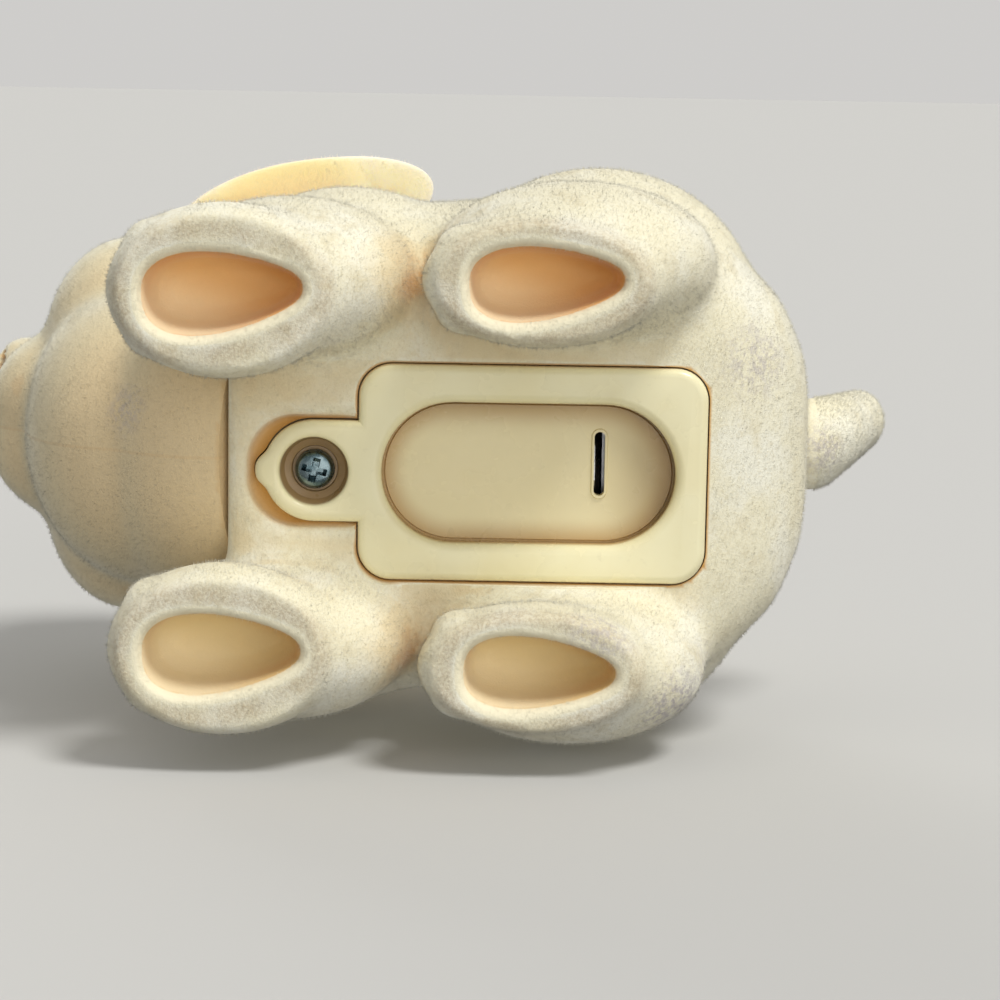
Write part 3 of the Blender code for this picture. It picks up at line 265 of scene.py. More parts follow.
def turned(name, profile, place, sides=64):
    """A turned solid from (radius, height) pairs along the Z axis of its place."""
    rings = []
    for radius, height in profile:
        radius = max(radius, 0.00001)
        ring = []
        for i in range(sides):
            angle = 2 * math.pi * (i + 0.5) / sides
            ring.append(place @ Vector((radius * math.cos(angle), radius * math.sin(angle), height)))
        rings.append(ring)
    return loft(name, rings)


def rod(radius, low, high):
    """The profile of a plain rod."""
    return [(radius, low), (radius, high)]


def aim(spot, direction):
    """A place whose Z axis points the given way."""
    return Matrix.Translation(spot) @ Vector(direction).to_track_quat("Z", "Y").to_matrix().to_4x4()


def eye_place(side):
    """Where an eye sits and which way it looks: side 1 is the left, -1 the right."""
    spot = Vector((side * eye_spot.x, eye_spot.y, eye_spot.z))
    return aim(spot, Vector((side * eye_look.x, eye_look.y, eye_look.z)))


neck_place = aim(neck_centre, neck_axis)
tail_place = aim((0, rump_y, tail_z), (0, 1, 0))


def arc(centre, radius, start, end, steps):
    """Points along a round stretch of an outline, angles in degrees."""
    points = []
    for i in range(steps + 1):
        angle = math.radians(start + (end - start) * i / steps)
        points.append((centre[0] + radius * math.cos(angle), centre[1] + radius * math.sin(angle)))
    return points


def rounded_box(centre, width, length, corner, steps=10):
    """A rounded rectangle, width along X and length along Y."""
    x = width / 2 - corner
    y = length / 2 - corner
    points = []
    for sign_x, sign_y, start in ((1, 1, 0), (-1, 1, 90), (-1, -1, 180), (1, -1, 270)):
        middle = (centre[0] + sign_x * x, centre[1] + sign_y * y)
        points += arc(middle, corner, start, start + 90, steps)
    return points


def stadium(centre, width, length, steps=28):
    """Two half rounds joined by straight sides along Y."""
    reach = length / 2 - width / 2
    ends = arc((centre[0], centre[1] + reach), width / 2, 0, 180, steps)
    return ends + arc((centre[0], centre[1] - reach), width / 2, 180, 360, steps)


def prism(name, levels):
    """A solid from flat outlines at rising heights."""
    return loft(name, [[(x, y, z) for x, y in outline] for outline, z in levels])


def door_outline(grow):
    """The door's main plate."""
    return rounded_box((door_x, door_y), door_width + 2 * grow, door_length + 2 * grow, door_corner + grow)


def lug_outline(grow, steps=24):
    """The door's screw lug with its round end and low nib."""
    half = lug_half + grow
    side = door_y - door_length / 2 + door_corner
    points = [(door_x + half, side), (door_x - half, side)]
    for step in range(2 * steps + 1):
        angle = math.radians(180 + 90 * step / steps)
        reach = half + nib_height * math.exp(-abs((math.degrees(angle) - 270) / 16) ** 3.2)
        points.append((door_x + reach * math.cos(angle), screw_y + reach * math.sin(angle)))
    return points


def pocket_outline(grow):
    """The pocket in the belly that the lug lies in."""
    back = door_y - door_length / 2 + door_corner
    middle = (door_x, (pocket_front + back) / 2)
    return rounded_box(middle, 2 * (lug_half + 0.0006 + grow), back - pocket_front + 2 * grow, 0.0050 + grow)


def sole_outline(sole, grow, steps=84):
    """The egg-shaped outline of a sole's hollow: blunt at the front, narrow at the back, turned a little."""
    x, y, blunt, length, turn = sole
    lean = Matrix.Rotation(math.radians(turn), 3, "Z")
    points = []
    for i in range(steps):
        angle = 2 * math.pi * i / steps
        share = (1 - math.cos(angle)) / 2
        full = abs(math.sin(angle)) ** 0.74 * (1 - 0.50 * share**1.4)
        half = 1.17 * (blunt + grow) * math.copysign(full, math.sin(angle))
        spot = lean @ Vector((half, -(length / 2 + grow) * math.cos(angle), 0))
        points.append((x + spot.x, y + spot.y))
    return points


def torso(name, inset, squareness, sides=64):
    """The torso's skinned cross-sections, drawn in by inset."""
    rings = []
    for station, share in enumerate(station_shares):
        y = torso_front_y + share * (rump_y - torso_front_y)
        if station == len(station_shares) - 1:
            y -= inset
        square = squareness * square_shares[station]
        half_width = max(torso_half_width * width_shares[station] - inset, gap)
        height = back_z - belly_z
        bottom = belly_z + height * bottom_shares[station] + inset
        top = belly_z + height * top_shares[station] - inset
        if top - bottom < gap:
            middle = (top + bottom) / 2
            bottom, top = middle - gap, middle + gap
        middle = (top + bottom) / 2
        ring = []
        for i in range(sides):
            angle = 2 * math.pi * i / sides
            power = 2 / square if math.sin(angle) > 0 else 2 / (square * 1.75)
            across = math.copysign(abs(math.cos(angle)) ** power, math.cos(angle))
            rise = math.copysign(abs(math.sin(angle)) ** power, math.sin(angle))
            ring.append((half_width * across, y, middle + (top - bottom) / 2 * rise))
        rings.append(ring)
    return loft(name, rings)


def slice_off(piece, spot, normal, outer=True):
    """Cuts a piece flat and closes it. The side the normal points to is cleared, or else the other."""
    choose(piece, "FACE", lambda face: True)
    bpy.ops.mesh.bisect(
        plane_co=spot, plane_no=normal, use_fill=True, clear_outer=outer, clear_inner=not outer)
    done()


# Body skin

def toes(paw, reach, spread):
    """Three soft toes along the front of a paw, and their mirror images."""
    found = []
    for share in (-1, 0, 1):
        x = paw[0] + share * spread
        y = paw[1] - reach * math.sqrt(1 - (share * 0.56) ** 2)
        found += both_sides((x, y, 0.0046), (spread * 0.66, 0.0034, 0.0044))
    return found


def body_skin():
    """The flocked body casing as one skin: torso, legs, paws, sole hollows, lug pocket and door opening."""
    trunk = torso("trunk", 0, 2.7)
    slice_off(trunk, neck_centre, neck_axis)
    parts = [trunk]
    for centre, radii in body_swellings:
        parts += both_sides(centre, radii)
    skin = join(parts, "body_skin")
    melt(skin, 0.0006, 58)
    skin = join([skin] + toes(forepaw, 0.0080, 0.0042) + toes(hindpaw, 0.0084, 0.0033), "body_skin")
    melt(skin, 0.0005, 9)
    slice_off(skin, (0, 0, 0), (0, 0, 1), outer=False)
    rim = neck_radius + 0.0010
    cut(skin, turned("neck_room", [(rim, 0), (rim + 0.28 * half_length, half_length)], neck_place, 96))
    for share in (-1, -0.5, 0.5, 1):
        room = swelling(cranium[0], [radius + 0.0006 for radius in cranium[1]])
        turn = Matrix.Rotation(share * head_swing, 4, neck_axis)
        room.matrix_world = Matrix.Translation(neck_centre) @ turn @ Matrix.Translation(-neck_centre)
        settle(room)
        slice_off(room, neck_centre + neck_axis * gap / 2, neck_axis, outer=False)
        cut(skin, room)
    bowl = [(0.0006, -0.002), (0.0006, 0), (0.0001, 0.0009), (-0.0003, 0.0042), (-0.0008, 0.0062)]
    bowl.append((-0.0020, sole_depth))
    for sole in soles:
        cut(skin, prism("sole_tool", [(sole_outline(sole, grow), z) for grow, z in bowl]))
    soft_edge = ((0.0014, -0.003), (0.0009, -0.0001), (-0.0002, 0.0008))
    cut(skin, prism("pocket_edge", [(pocket_outline(grow), belly_z + rise) for grow, rise in soft_edge]))
    melt(skin, 0.00046, 3)
    slope = [(0.0003, -0.003), (0.0003, 0.0001), (0.0001, 0.0004), (-0.0001, 0.0008), (-0.0004, 0.0013)]
    slope.append((-0.0009, 0.0017))
    cut(skin, prism("lug_pocket", [(pocket_outline(grow), belly_z + rise) for grow, rise in slope]))
    cut(skin, turned("tail_seat", [(0.0056, -0.0014), (0.0058, 0.004)], tail_place))
    cut(skin, turned("spindle_hole", rod(spindle_radius + gap, -0.004, 0.004), neck_place))
    opening = ((0.0003, -0.004), (0.0003, 0), (0, 0.0004), (0, 0.004))
    for outline in (door_outline, lug_outline):
        cut(skin, prism("door_room", [(outline(door_gap + grow), belly_z + rise) for grow, rise in opening]))
    room = torso("inner_room", casing_wall, 2.6)
    slice_off(room, neck_centre - neck_axis * casing_wall, neck_axis)
    cut(skin, room)
    seat = rounded_box((door_x, 0.00755), 0.0278, 0.0478, door_corner)
    cut(skin, prism("housing_room", [(seat, belly_z + casing_wall), (seat, belly_z + 0.0039)]))
    return skin


# Head skin

def head_skin():
    """The flocked head: cranium, throat, muzzle, brows and lips melted together, with seats for the face."""
    parts = [swelling(centre, radii) for centre, radii in middle_swellings]
    for centre, radii in side_swellings:
        parts += both_sides(centre, radii)
    skin = join(parts, "head_skin")
    melt(skin, 0.0006, 36)
    for sign in (1, -1):
        bpy.ops.mesh.primitive_torus_add(
            major_segments=48, minor_segments=12, major_radius=0.0036, minor_radius=0.0006,
            location=(sign * smile_spot[0], smile_spot[1], smile_spot[2]),
            rotation=(math.radians(90), 0, 0), align="WORLD")
        smile = settle(bpy.context.object)
        smile.scale = (1, 3.0, 1)
        smile.location.y = -2 * smile_spot[1]
        settle(smile)
        slice_off(smile, (0, 0, smile_spot[2]), (0, 0, 1))
        cut(skin, smile)
    melt(skin, 0.0004, 2)
    cut(skin, turned("head_back", rod(0.06, -0.06, gap), neck_place))
    hollow = swelling(cranium[0], [radius - casing_wall for radius in cranium[1]])
    slice_off(hollow, neck_centre + neck_axis * (gap + casing_wall), neck_axis, outer=False)
    cut(skin, hollow)
    cut(skin, turned("spindle_hole", rod(spindle_radius + gap, -0.002, 0.006), neck_place))
    for sign in (1, -1):
        cut(skin, turned("eye_seat", rod(eye_radius + 0.0002, -eye_radius - gap, 0.006), eye_place(sign)))
    return skin


# Where the colour changes over a skin, kept as values on its points

def spread(low, high, value):
    """A soft step from 0 to 1 between two values."""
    share = np.clip((value - low) / (high - low), 0, 1)
    return share * share * (3 - 2 * share)


def keep_values(piece, name, values):
    """Stores one value for each point of a mesh under a name that its material reads."""
    layer = piece.data.attributes.new(name, "FLOAT", "POINT")
    layer.data.foreach_set("value", np.asarray(values, np.float32))


def points_of(piece):
    """A mesh's points and their normals."""
    found = []
    for what in ("co", "normal"):
        values = np.zeros(len(piece.data.vertices) * 3, np.float32)
        piece.data.vertices.foreach_get(what, values)
        found.append(values.reshape(-1, 3))
    return found


def outline_away(spots, outline):
    """How far points lie outside a flat outline, seen along Z, below 0 within it."""
    x, y = spots[:, 0], spots[:, 1]
    nearest = np.full(len(spots), 1.0)
    inside = np.zeros(len(spots), bool)
    points = np.array(outline)
    for a, b in zip(points, np.roll(points, -1, axis=0)):
        edge = b - a
        share = np.clip(((spots[:, :2] - a) @ edge) / (edge @ edge + 1e-18), 0, 1)
        nearest = np.minimum(nearest, np.hypot(x - a[0] - share * edge[0], y - a[1] - share * edge[1]))
        if edge[1]:
            inside ^= ((a[1] > y) != (b[1] > y)) & (x < edge[0] * (y - a[1]) / edge[1] + a[0])
    return np.where(inside, -nearest, nearest)


def painted_crease_shade(piece, reach, rays=20):
    """How closed in each point is, from rays sent out over it: 0 in the open, 1 deep in a crease. The flocks
    paint shade by it.
    """
    spots, normals = points_of(piece)
    graph = bpy.context.evaluated_depsgraph_get()
    tree = BVHTree.FromObject(piece, graph)
    picker = random.Random(5)
    directions = []
    while len(directions) < rays:
        way = Vector((picker.uniform(-1, 1), picker.uniform(-1, 1), picker.uniform(-1, 1)))
        if 0.1 < way.length < 1:
            directions.append(way.normalized())
    found = np.zeros(len(spots))
    for i, (spot, normal) in enumerate(zip(spots, normals)):
        spot, normal = Vector(spot), Vector(normal)
        start = spot + normal * 0.0002
        total = 0
        for way in directions:
            ray = way + normal * 1.02
            if ray.length < 0.05:
                continue
            hit = tree.ray_cast(start, ray.normalized(), reach)
            if hit[0] is not None:
                total += 1 - 0.6 * hit[3] / reach
        found[i] = total / rays
    return found


# Materials

def node(tree, kind, **settings):
    """Adds a shader node with its settings."""
    made = tree.nodes.new("ShaderNode" + kind)
    for key, value in settings.items():
        setattr(made, key, value)
    return made


def put(made, **values):
    """Sets a shader node's inputs, each named with underscores for spaces."""
    for key, value in values.items():
        made.inputs[key.replace("_", " ")].default_value = value


def start(name, roughness, metallic=0.0):
    """A new material with its Principled shader and its Object coordinates."""
    stuff = bpy.data.materials.new(name)
    stuff.use_nodes = True
    tree = stuff.node_tree
    shader = tree.nodes["Principled BSDF"]
    put(shader, Roughness=roughness, Metallic=metallic)
    return stuff, tree, shader, node(tree, "TexCoord").outputs["Object"]


def noise(tree, place, scale, detail, roughness):
    """A cloudy pattern between 0 and 1, so many waves to the metre."""
    made = node(tree, "TexNoise")
    put(made, Scale=scale, Detail=detail, Roughness=roughness)
    tree.links.new(place, made.inputs["Vector"])
    return made.outputs["Fac"]


def band(tree, value, low, high, start_at=0.0, end_at=1.0):
    """A soft step of a value between two limits."""
    made = node(tree, "MapRange", interpolation_type="SMOOTHSTEP")
    put(made, From_Min=low, From_Max=high, To_Min=start_at, To_Max=end_at)
    tree.links.new(value, made.inputs["Value"])
    return made.outputs["Result"]


def reckon(tree, operation, *values):
    """Arithmetic on values, each a socket or a number."""
    made = node(tree, "Math", operation=operation)
    for socket, value in zip(made.inputs, values):
        if isinstance(value, bpy.types.NodeSocket):
            tree.links.new(value, socket)
        else:
            socket.default_value = value
    return made.outputs[0]


def times(tree, first, second):
    """The product of two values."""
    return reckon(tree, "MULTIPLY", first, second)


def tint(tree, base, colour, amount):
    """Lays a colour over a base by an amount, each a socket or a value."""
    made = node(tree, "Mix", data_type="RGBA")
    for socket, value in ((6, base), (7, colour), (0, amount)):
        if isinstance(value, bpy.types.NodeSocket):
            tree.links.new(value, made.inputs[socket])
        elif socket == 0:
            made.inputs[socket].default_value = value
        else:
            made.inputs[socket].default_value = (*value, 1)
    return made.outputs[2]


def near(tree, place, spot, inner, outer):
    """A soft round patch about a spot: 1 within the inner distance, 0 past the outer."""
    made = node(tree, "VectorMath", operation="DISTANCE")
    tree.links.new(place, made.inputs[0])
    made.inputs[1].default_value = spot
    return band(tree, made.outputs["Value"], inner, outer, 1.0, 0.0)


def axes(tree, place):
    """A place's X, Y and Z as sockets of their own."""
    made = node(tree, "SeparateXYZ")
    tree.links.new(place, made.inputs[0])
    return made.outputs


def value_of(tree, name):
    """A value kept on the skin's points."""
    return node(tree, "Attribute", attribute_name=name).outputs["Fac"]


def bumps(tree, shader, *layers):
    """Relief from several patterns: (pattern, depth in metres, strength)."""
    last = None
    for pattern, depth, strength in layers:
        made = node(tree, "Bump")
        put(made, Distance=depth, Strength=strength)
        tree.links.new(pattern, made.inputs["Height"])
        if last is not None:
            tree.links.new(last, made.inputs["Normal"])
        last = made.outputs["Normal"]
    tree.links.new(last, shader.inputs["Normal"])


cream = (0.90, 0.85, 0.64)
pale_cream = (0.94, 0.92, 0.78)
dull_cream = (0.75, 0.68, 0.48)
# Painted shade for creases and undersides; the tan also marks the head's mould line
painted_shade_cream = (0.83, 0.71, 0.46)
painted_shade_and_mould_line_tan = (0.68, 0.41, 0.17)
# Brown for seams and the door opening's walls, with painted shade in the lug's pocket
seam_and_shade_brown = (0.66, 0.36, 0.10)
dust_grey = (0.50, 0.40, 0.26)
# Painted highlight for the rounded rims of the soles' hollows
rim_highlight_cream = (0.94, 0.88, 0.66)
dust_lilac = (0.47, 0.43, 0.46)
# The soles' hollows: orange, with deeper orange copies for the left soles that are painted glow of light
# passing through the leg's wall
right_hollow_wall = (0.78, 0.53, 0.20)
left_hollow_wall_glow = (0.84, 0.42, 0.10)
right_hollow_floor = (0.83, 0.68, 0.37)
left_hollow_floor_glow = (0.88, 0.57, 0.25)
# Painted light and painted shade on the hollows' walls
hollow_painted_light = (0.95, 0.83, 0.58)
hollow_painted_shade = (0.66, 0.34, 0.07)
# Painted glow for the ears' inner sides
ear_painted_glow = (1.0, 0.73, 0.38)
# Painted shade and shadow for the door's recess and screw well
recess_floor_shade = (0.80, 0.69, 0.40)
recess_edge_shade = (0.50, 0.30, 0.09)
recess_left_shadow = (0.42, 0.29, 0.12)
recess_back_shadow = (0.30, 0.18, 0.05)
well_shade = (0.34, 0.22, 0.10)


def flock(name, crease=True, smudges=(), glow=False, mould_line=False):
    """Short cream flock, mottled by handling: painted shade in warm cream and tan in the creases, dusty
    round the soles, a painted highlight round the soles' hollows, orange inside them with painted glow,
    light and shade, and painted glow on the ears where asked.
    """
    stuff, tree, shader, place = start(name, 0.95)
    put(shader, Sheen_Weight=0.35, Sheen_Roughness=0.45, Sheen_Tint=(1.0, 0.95, 0.82, 1))
    put(shader, Specular_IOR_Level=0.15)
    clouds = noise(tree, place, 95, 4, 0.6)
    colour = tint(tree, cream, pale_cream, band(tree, clouds, 0.42, 0.66))
    blotches = noise(tree, place, 260, 5, 0.65)
    colour = tint(tree, colour, dull_cream, times(tree, band(tree, blotches, 0.50, 0.70), 0.70))
    fibres = noise(tree, place, 3600, 2, 0.7)
    colour = tint(tree, colour, dull_cream, times(tree, band(tree, fibres, 0.50, 0.72), 0.55))
    colour = tint(tree, colour, pale_cream, times(tree, band(tree, fibres, 0.50, 0.30), 0.40))
    if crease:
        # Painted shade: warm cream, then tan, the more a point is shut in by creases
        closed = value_of(tree, "painted_crease_shade")
        colour = tint(tree, colour, painted_shade_cream, times(tree, band(tree, closed, 0.06, 0.36), 0.92))
        colour = tint(tree, colour, painted_shade_and_mould_line_tan, times(tree, band(tree, closed, 0.30, 0.62), 0.90))
        # Painted highlight: a pale ring where the sole values fall below zero, along each hollow's rim
        dust_and_highlight = value_of(tree, "sole_dust_and_highlight")
        colour = tint(tree, colour, rim_highlight_cream, band(tree, dust_and_highlight, 0.0, -0.7))
        dusty = times(tree, dust_and_highlight, band(tree, noise(tree, place, 3000, 4, 0.75), 0.36, 0.64, 0.35, 1.0))
        dusty = times(tree, dusty, band(tree, noise(tree, place, 210, 2, 0.5), 0.36, 0.60, 0.50, 1.0))
        colour = tint(tree, colour, dust_grey, times(tree, dusty, 0.70))
        deep = value_of(tree, "hollow")
        # Orange in the hollows; on the left soles (+X) a deeper orange, painted glow of light passing
        # through the leg's wall
        glow_side = band(tree, axes(tree, place)["X"], -0.004, 0.004)
        wall = tint(tree, right_hollow_wall, left_hollow_wall_glow, glow_side)
        floor = tint(tree, right_hollow_floor, left_hollow_floor_glow, glow_side)
        colour = tint(tree, colour, wall, band(tree, deep, 0.003, 0.04))
        colour = tint(tree, colour, floor, band(tree, deep, 0.35, 1.0))
        # Painted light on each hollow's walls at its -X and -Y side, painted shade on those at its +X and +Y
        # side
        side = value_of(tree, "hollow_light_side")
        colour = tint(tree, colour, hollow_painted_light, times(tree, side, 0.80))
        colour = tint(tree, colour, hollow_painted_shade, times(tree, band(tree, side, 0.0, -1.0), 0.62))
        # Brown seams and door-opening walls, with painted shade on the lug pocket's floor
        colour = tint(tree, colour, seam_and_shade_brown, value_of(tree, "seam"))
    if mould_line:
        across = reckon(tree, "ABSOLUTE", axes(tree, place)["X"])
        colour = tint(tree, colour, painted_shade_and_mould_line_tan, band(tree, across, 0.00024, 0.00008, 0.0, 0.16))
    # Painted glow: warm colour on the ears' inner sides, for light passing through the flap
    if glow:
        colour = tint(tree, colour, ear_painted_glow, times(tree, value_of(tree, "glow"), 0.85))
    colour = tint(tree, colour, pale_cream, times(tree, value_of(tree, "tip"), 0.75))
    for spot, size, strength in smudges:
        patch = times(tree, near(tree, place, spot, size * 0.2, size), strength)
        patch = times(tree, patch, band(tree, noise(tree, place, 1300, 5, 0.75), 0.42, 0.60))
        colour = tint(tree, colour, dust_lilac, patch)
    tree.links.new(colour, shader.inputs["Base Color"])
    nap = noise(tree, place, 420, 3, 0.6)
    bumps(tree, shader, (nap, 0.00025, 0.30), (fibres, 0.00012, 0.55))
    return stuff


def moulded(name, colour, second, scale, roughness, metallic=0.0, relief=0.00002):
    """A moulded surface: two close shades in soft clouds, fine relief and a gloss that varies."""
    stuff, tree, shader, place = start(name, roughness, metallic)
    clouds = noise(tree, place, scale, 4, 0.6)
    shades = tint(tree, colour, second, band(tree, clouds, 0.35, 0.65))
    specks = noise(tree, place, scale * 9, 3, 0.6)
    speck = tuple(share * 0.82 for share in second)
    shades = tint(tree, shades, speck, times(tree, band(tree, specks, 0.60, 0.80), 0.35))
    tree.links.new(shades, shader.inputs["Base Color"])
    tree.links.new(band(tree, clouds, 0.3, 0.7, roughness * 0.85, min(roughness * 1.2, 1.0)),
                   shader.inputs["Roughness"])
    bumps(tree, shader, (specks, relief, 0.5))
    return stuff


def dress(piece, stuff):
    """Gives a piece its one material."""
    piece.data.materials.clear()
    piece.data.materials.append(stuff)


# Flocked skins

def finish_body():
    """The body skin with the values its flock reads."""
    skin = body_skin()
    shade(skin, 50)
    spots, _ = points_of(skin)
    z = spots[:, 2]
    hollow, dust_and_rim_highlight, side = np.zeros((3, len(spots)))
    low = np.flatnonzero(z < sole_depth + 0.0004)
    for sole in soles:
        x, y, blunt, length, _ = sole
        away = outline_away(spots[low], sole_outline(sole, 0))
        height = z[low]
        within = away < 0.0002
        hollow[low] = np.maximum(hollow[low], within * spread(0.0002, sole_depth - 0.0006, height))
        # Which way each point lies within its hollow, for the painted light and shade on the walls
        towards_light = 0.72 * (x - spots[low, 0]) / blunt - 0.62 * (spots[low, 1] - y) / (length / 2)
        inside = within * spread(0.0001, 0.0010, height)
        side[low] += inside * (spread(-0.25, 1.05, towards_light) - spread(0.20, 1.05, -towards_light))
        ring = spread(0.0010, 0.0017, away) * (1 - spread(0.0024, 0.0040, away))
        ring = ring * (1 - spread(0.0008, 0.0026, height))
        # Painted highlight along each hollow's rim, kept as negative values beside the dusty band
        rim_highlight = (away > -0.0004) * (1 - spread(0.0008, 0.0013, away)) * (1 - spread(0.0005, 0.0011, height))
        dust_and_rim_highlight[low] += ring - rim_highlight
    keep_values(skin, "hollow", hollow)
    keep_values(skin, "hollow_light_side", side)
    keep_values(skin, "sole_dust_and_highlight", dust_and_rim_highlight)
    # Painted crease shade, from rays sent out over the skin
    keep_values(skin, "painted_crease_shade", painted_crease_shade(skin, 0.020))
    keep_values(skin, "seam", seam_values(spots))
    smudges = [((-0.0235, 0.0255, 0.006), 0.0060, 0.75), ((-0.0240, 0.0290, 0.012), 0.0080, 0.6)]
    smudges += [((0.0105, 0.0330, 0.016), 0.0060, 0.55), ((-0.0150, 0.0180, 0.0000), 0.0050, 0.5)]
    dress(skin, flock("cream_flock_body", True, smudges))
    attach(skin, "body")
    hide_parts("belly_shell", "back_shell")
    return skin


def nap(skin, name, count, body, seed=1):
    """Short standing fibres over a flocked piece's open surface, each a thin three-sided spike.

    They keep clear of the neck, the tail's root, the soles' hollows, the door and its pocket.
    """
    mesh = skin.data
    mesh.calc_loop_triangles()
    corners = np.zeros(len(mesh.loop_triangles) * 3, np.int32)
    mesh.loop_triangles.foreach_get("vertices", corners)
    corners = corners.reshape(-1, 3)
    spots, normals = points_of(skin)
    a, b, c = (spots[corners[:, i]] for i in range(3))
    areas = np.linalg.norm(np.cross(b - a, c - a), axis=1)
    picker = np.random.RandomState(seed)
    chosen = picker.choice(len(corners), int(count * 1.9), p=areas / areas.sum())
    u, v = picker.rand(2, len(chosen))
    flip = u + v > 1
    u[flip], v[flip] = 1 - u[flip], 1 - v[flip]
    weights = np.stack([1 - u - v, u, v], 1)
    picked = corners[chosen]
    base = (spots[picked] * weights[:, :, None]).sum(1)
    up = (normals[picked] * weights[:, :, None]).sum(1)
    up /= np.linalg.norm(up, axis=1)[:, None] + 1e-9
    values = {}
    for layer in ("painted_crease_shade", "sole_dust_and_highlight", "hollow", "seam", "glow"):
        if layer in mesh.attributes:
            kept = np.zeros(len(spots), np.float32)
            mesh.attributes[layer].data.foreach_get("value", kept)
            values[layer] = (kept[picked] * weights).sum(1)
    neck_away = (base - np.array(neck_centre)) @ np.array(neck_axis)
    open_air = np.abs(neck_away) > 0.0009
    tail_away = np.hypot(base[:, 0], base[:, 2] - tail_z)
    open_air &= (tail_away > 0.0072) | (base[:, 1] > rump_y + 0.0010) | (base[:, 1] < 0)
    if "painted_crease_shade" in values:
        open_air &= (values["painted_crease_shade"] < 0.86) & (values["hollow"] < 0.01)
    low = np.flatnonzero(base[:, 2] < belly_z + 0.004)
    open_air[low] &= outline_away(base[low], door_outline(0)) > 0.0005
    open_air[low] &= outline_away(base[low], pocket_outline(0)) > 0.0003
    kept = np.flatnonzero(open_air)[:count]
    base, up = base[kept], up[kept]
    way = up + picker.normal(0, fibre_scatter, base.shape)
    way /= np.linalg.norm(way, axis=1)[:, None]
    length = picker.uniform(fibre_shortest, fibre_longest, len(base))
    side = np.cross(way, np.roll(way, 1, axis=1) + 0.01)
    side /= np.linalg.norm(side, axis=1)[:, None]
    other = np.cross(way, side)
    root = base - up * 0.00005
    rows = []
    for corner in range(3):
        angle = corner * 2.0944
        rows.append(root + fibre_radius * (math.cos(angle) * side + math.sin(angle) * other))
    rows.append(base + way * length[:, None])
    points = np.stack(rows, 1).reshape(-1, 3)
    first = np.arange(len(base))[:, None] * 4
    faces = np.concatenate([first + [0, 1, 3], first + [1, 2, 3], first + [2, 0, 3], first + [0, 2, 1]], 1)
    made = bpy.data.meshes.new(name)
    made.from_pydata(points.tolist(), [], faces.reshape(-1, 3).tolist())
    piece = bring_in(name, made)
    for layer, kept_values in values.items():
        keep_values(piece, layer, np.repeat(kept_values[kept], 4))
    keep_values(piece, "tip", np.tile([0, 0, 0, 1], len(base)))
    made.shade_smooth()
    made.normals_split_custom_set_from_vertices(np.repeat(up, 4, axis=0).tolist())
    dress(piece, skin.data.materials[0])
    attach(piece, body)


def neck_seam(spots, height):
    """The thin brown seam where the head meets the body."""
    out = spots - np.array(neck_centre)
    along = out @ np.array(neck_axis)
    away = np.linalg.norm(out - along[:, None] * np.array(neck_axis), axis=1)
    return 0.25 * (np.abs(along - height) < 0.0002) * (away < neck_radius + 0.003)


def seam_values(spots):
    """The brown walls of the door's opening and the floor of the lug's pocket; the floor's brown, strongest
    next to the lug, is partly painted shade.
    """
    z = spots[:, 2]
    plate = outline_away(spots, door_outline(0))
    pocket = outline_away(spots, pocket_outline(0))
    lug = np.hypot(spots[:, 0] - door_x, spots[:, 1] - screw_y) - lug_half
    walls = (np.abs(plate) < 0.0003) & (z > belly_z + 0.0003) & (z < belly_z + 0.0030)
    floor = (pocket < 0.0002) * spread(belly_z + 0.0002, belly_z + 0.0012, z) * (z < belly_z + 0.0030)
    # Painted shade: the pocket floor's brown fades away from the lug
    floor = floor * (1 - 0.55 * spread(0.0004, 0.0024, lug))
    return np.maximum(np.maximum(walls, floor), neck_seam(spots, 0))


def finish_head():
    """The head skin with the values its flock reads."""
    skin = head_skin()
    shade(skin, 50)
    spots, normals = points_of(skin)
    keep_values(skin, "hollow", np.zeros(len(spots)))
    keep_values(skin, "sole_dust_and_highlight", np.zeros(len(spots)))
    # Painted shade: the more a point of the head faces down, the darker, added to its painted crease shade
    painted_underside_shade = 0.42 * spread(-0.1, 0.9, -normals[:, 2])
    keep_values(skin, "painted_crease_shade", np.clip(painted_crease_shade(skin, 0.016) + painted_underside_shade, 0, 1))
    keep_values(skin, "seam", neck_seam(spots, gap))
    dress(skin, flock("cream_flock_head", True, [((0.004, -0.0300, 0.018), 0.004, 0.5)], mould_line=True))
    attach(skin, "head")
    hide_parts("head_left_half", "head_right_half")
    return skin


def ear(name, side):
    """A cupped flap: a flattened ball pulled to a broad leaf that hangs out over the shoulder."""
    along = Vector((0.66, 0.30, -0.64)).normalized()
    across = Vector((0.10, 0.99, 0.06)).normalized()
    outer = across.cross(along).normalized()
    if outer.z < 0:
        outer = -outer
    leaf = swelling((0, 0, 0), (1, 1, 1), 88)
    leaf.name = name
    leaf.data.name = name
    lit = []
    for point in leaf.data.vertices:
        x, y, z = point.co
        reach = math.hypot(x, y)
        fuller = reach / max((abs(x) ** 2.6 + abs(y) ** 2.6) ** (1 / 2.6), 0.00001)
        u = (x * fuller + 1) / 2
        v = y * fuller
        broad = 0.60 + 0.40 * math.sin(math.pi / 2 * min(u / 0.55, 1))
        spot = ear_root + along * (0.0214 * u) + across * (0.0146 * broad * v)
        spot += outer * (0.0010 * z - 0.0020 * v * v - 0.0030 * u * u)
        point.co = (side * spot.x, spot.y, spot.z)
        # Where the flap's inner side takes its painted glow
        lit.append((z < 0.1) * (1 - float(spread(0.30, 0.75, math.hypot(v + 0.30, (u - 0.70) / 0.9)))))
    face_out(leaf)
    keep_values(leaf, "glow", lit)
    shade(leaf, 180)
    dress(leaf, ear_flock)
    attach(leaf, "head")
    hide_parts(name.replace("_flap", ""))
    return leaf


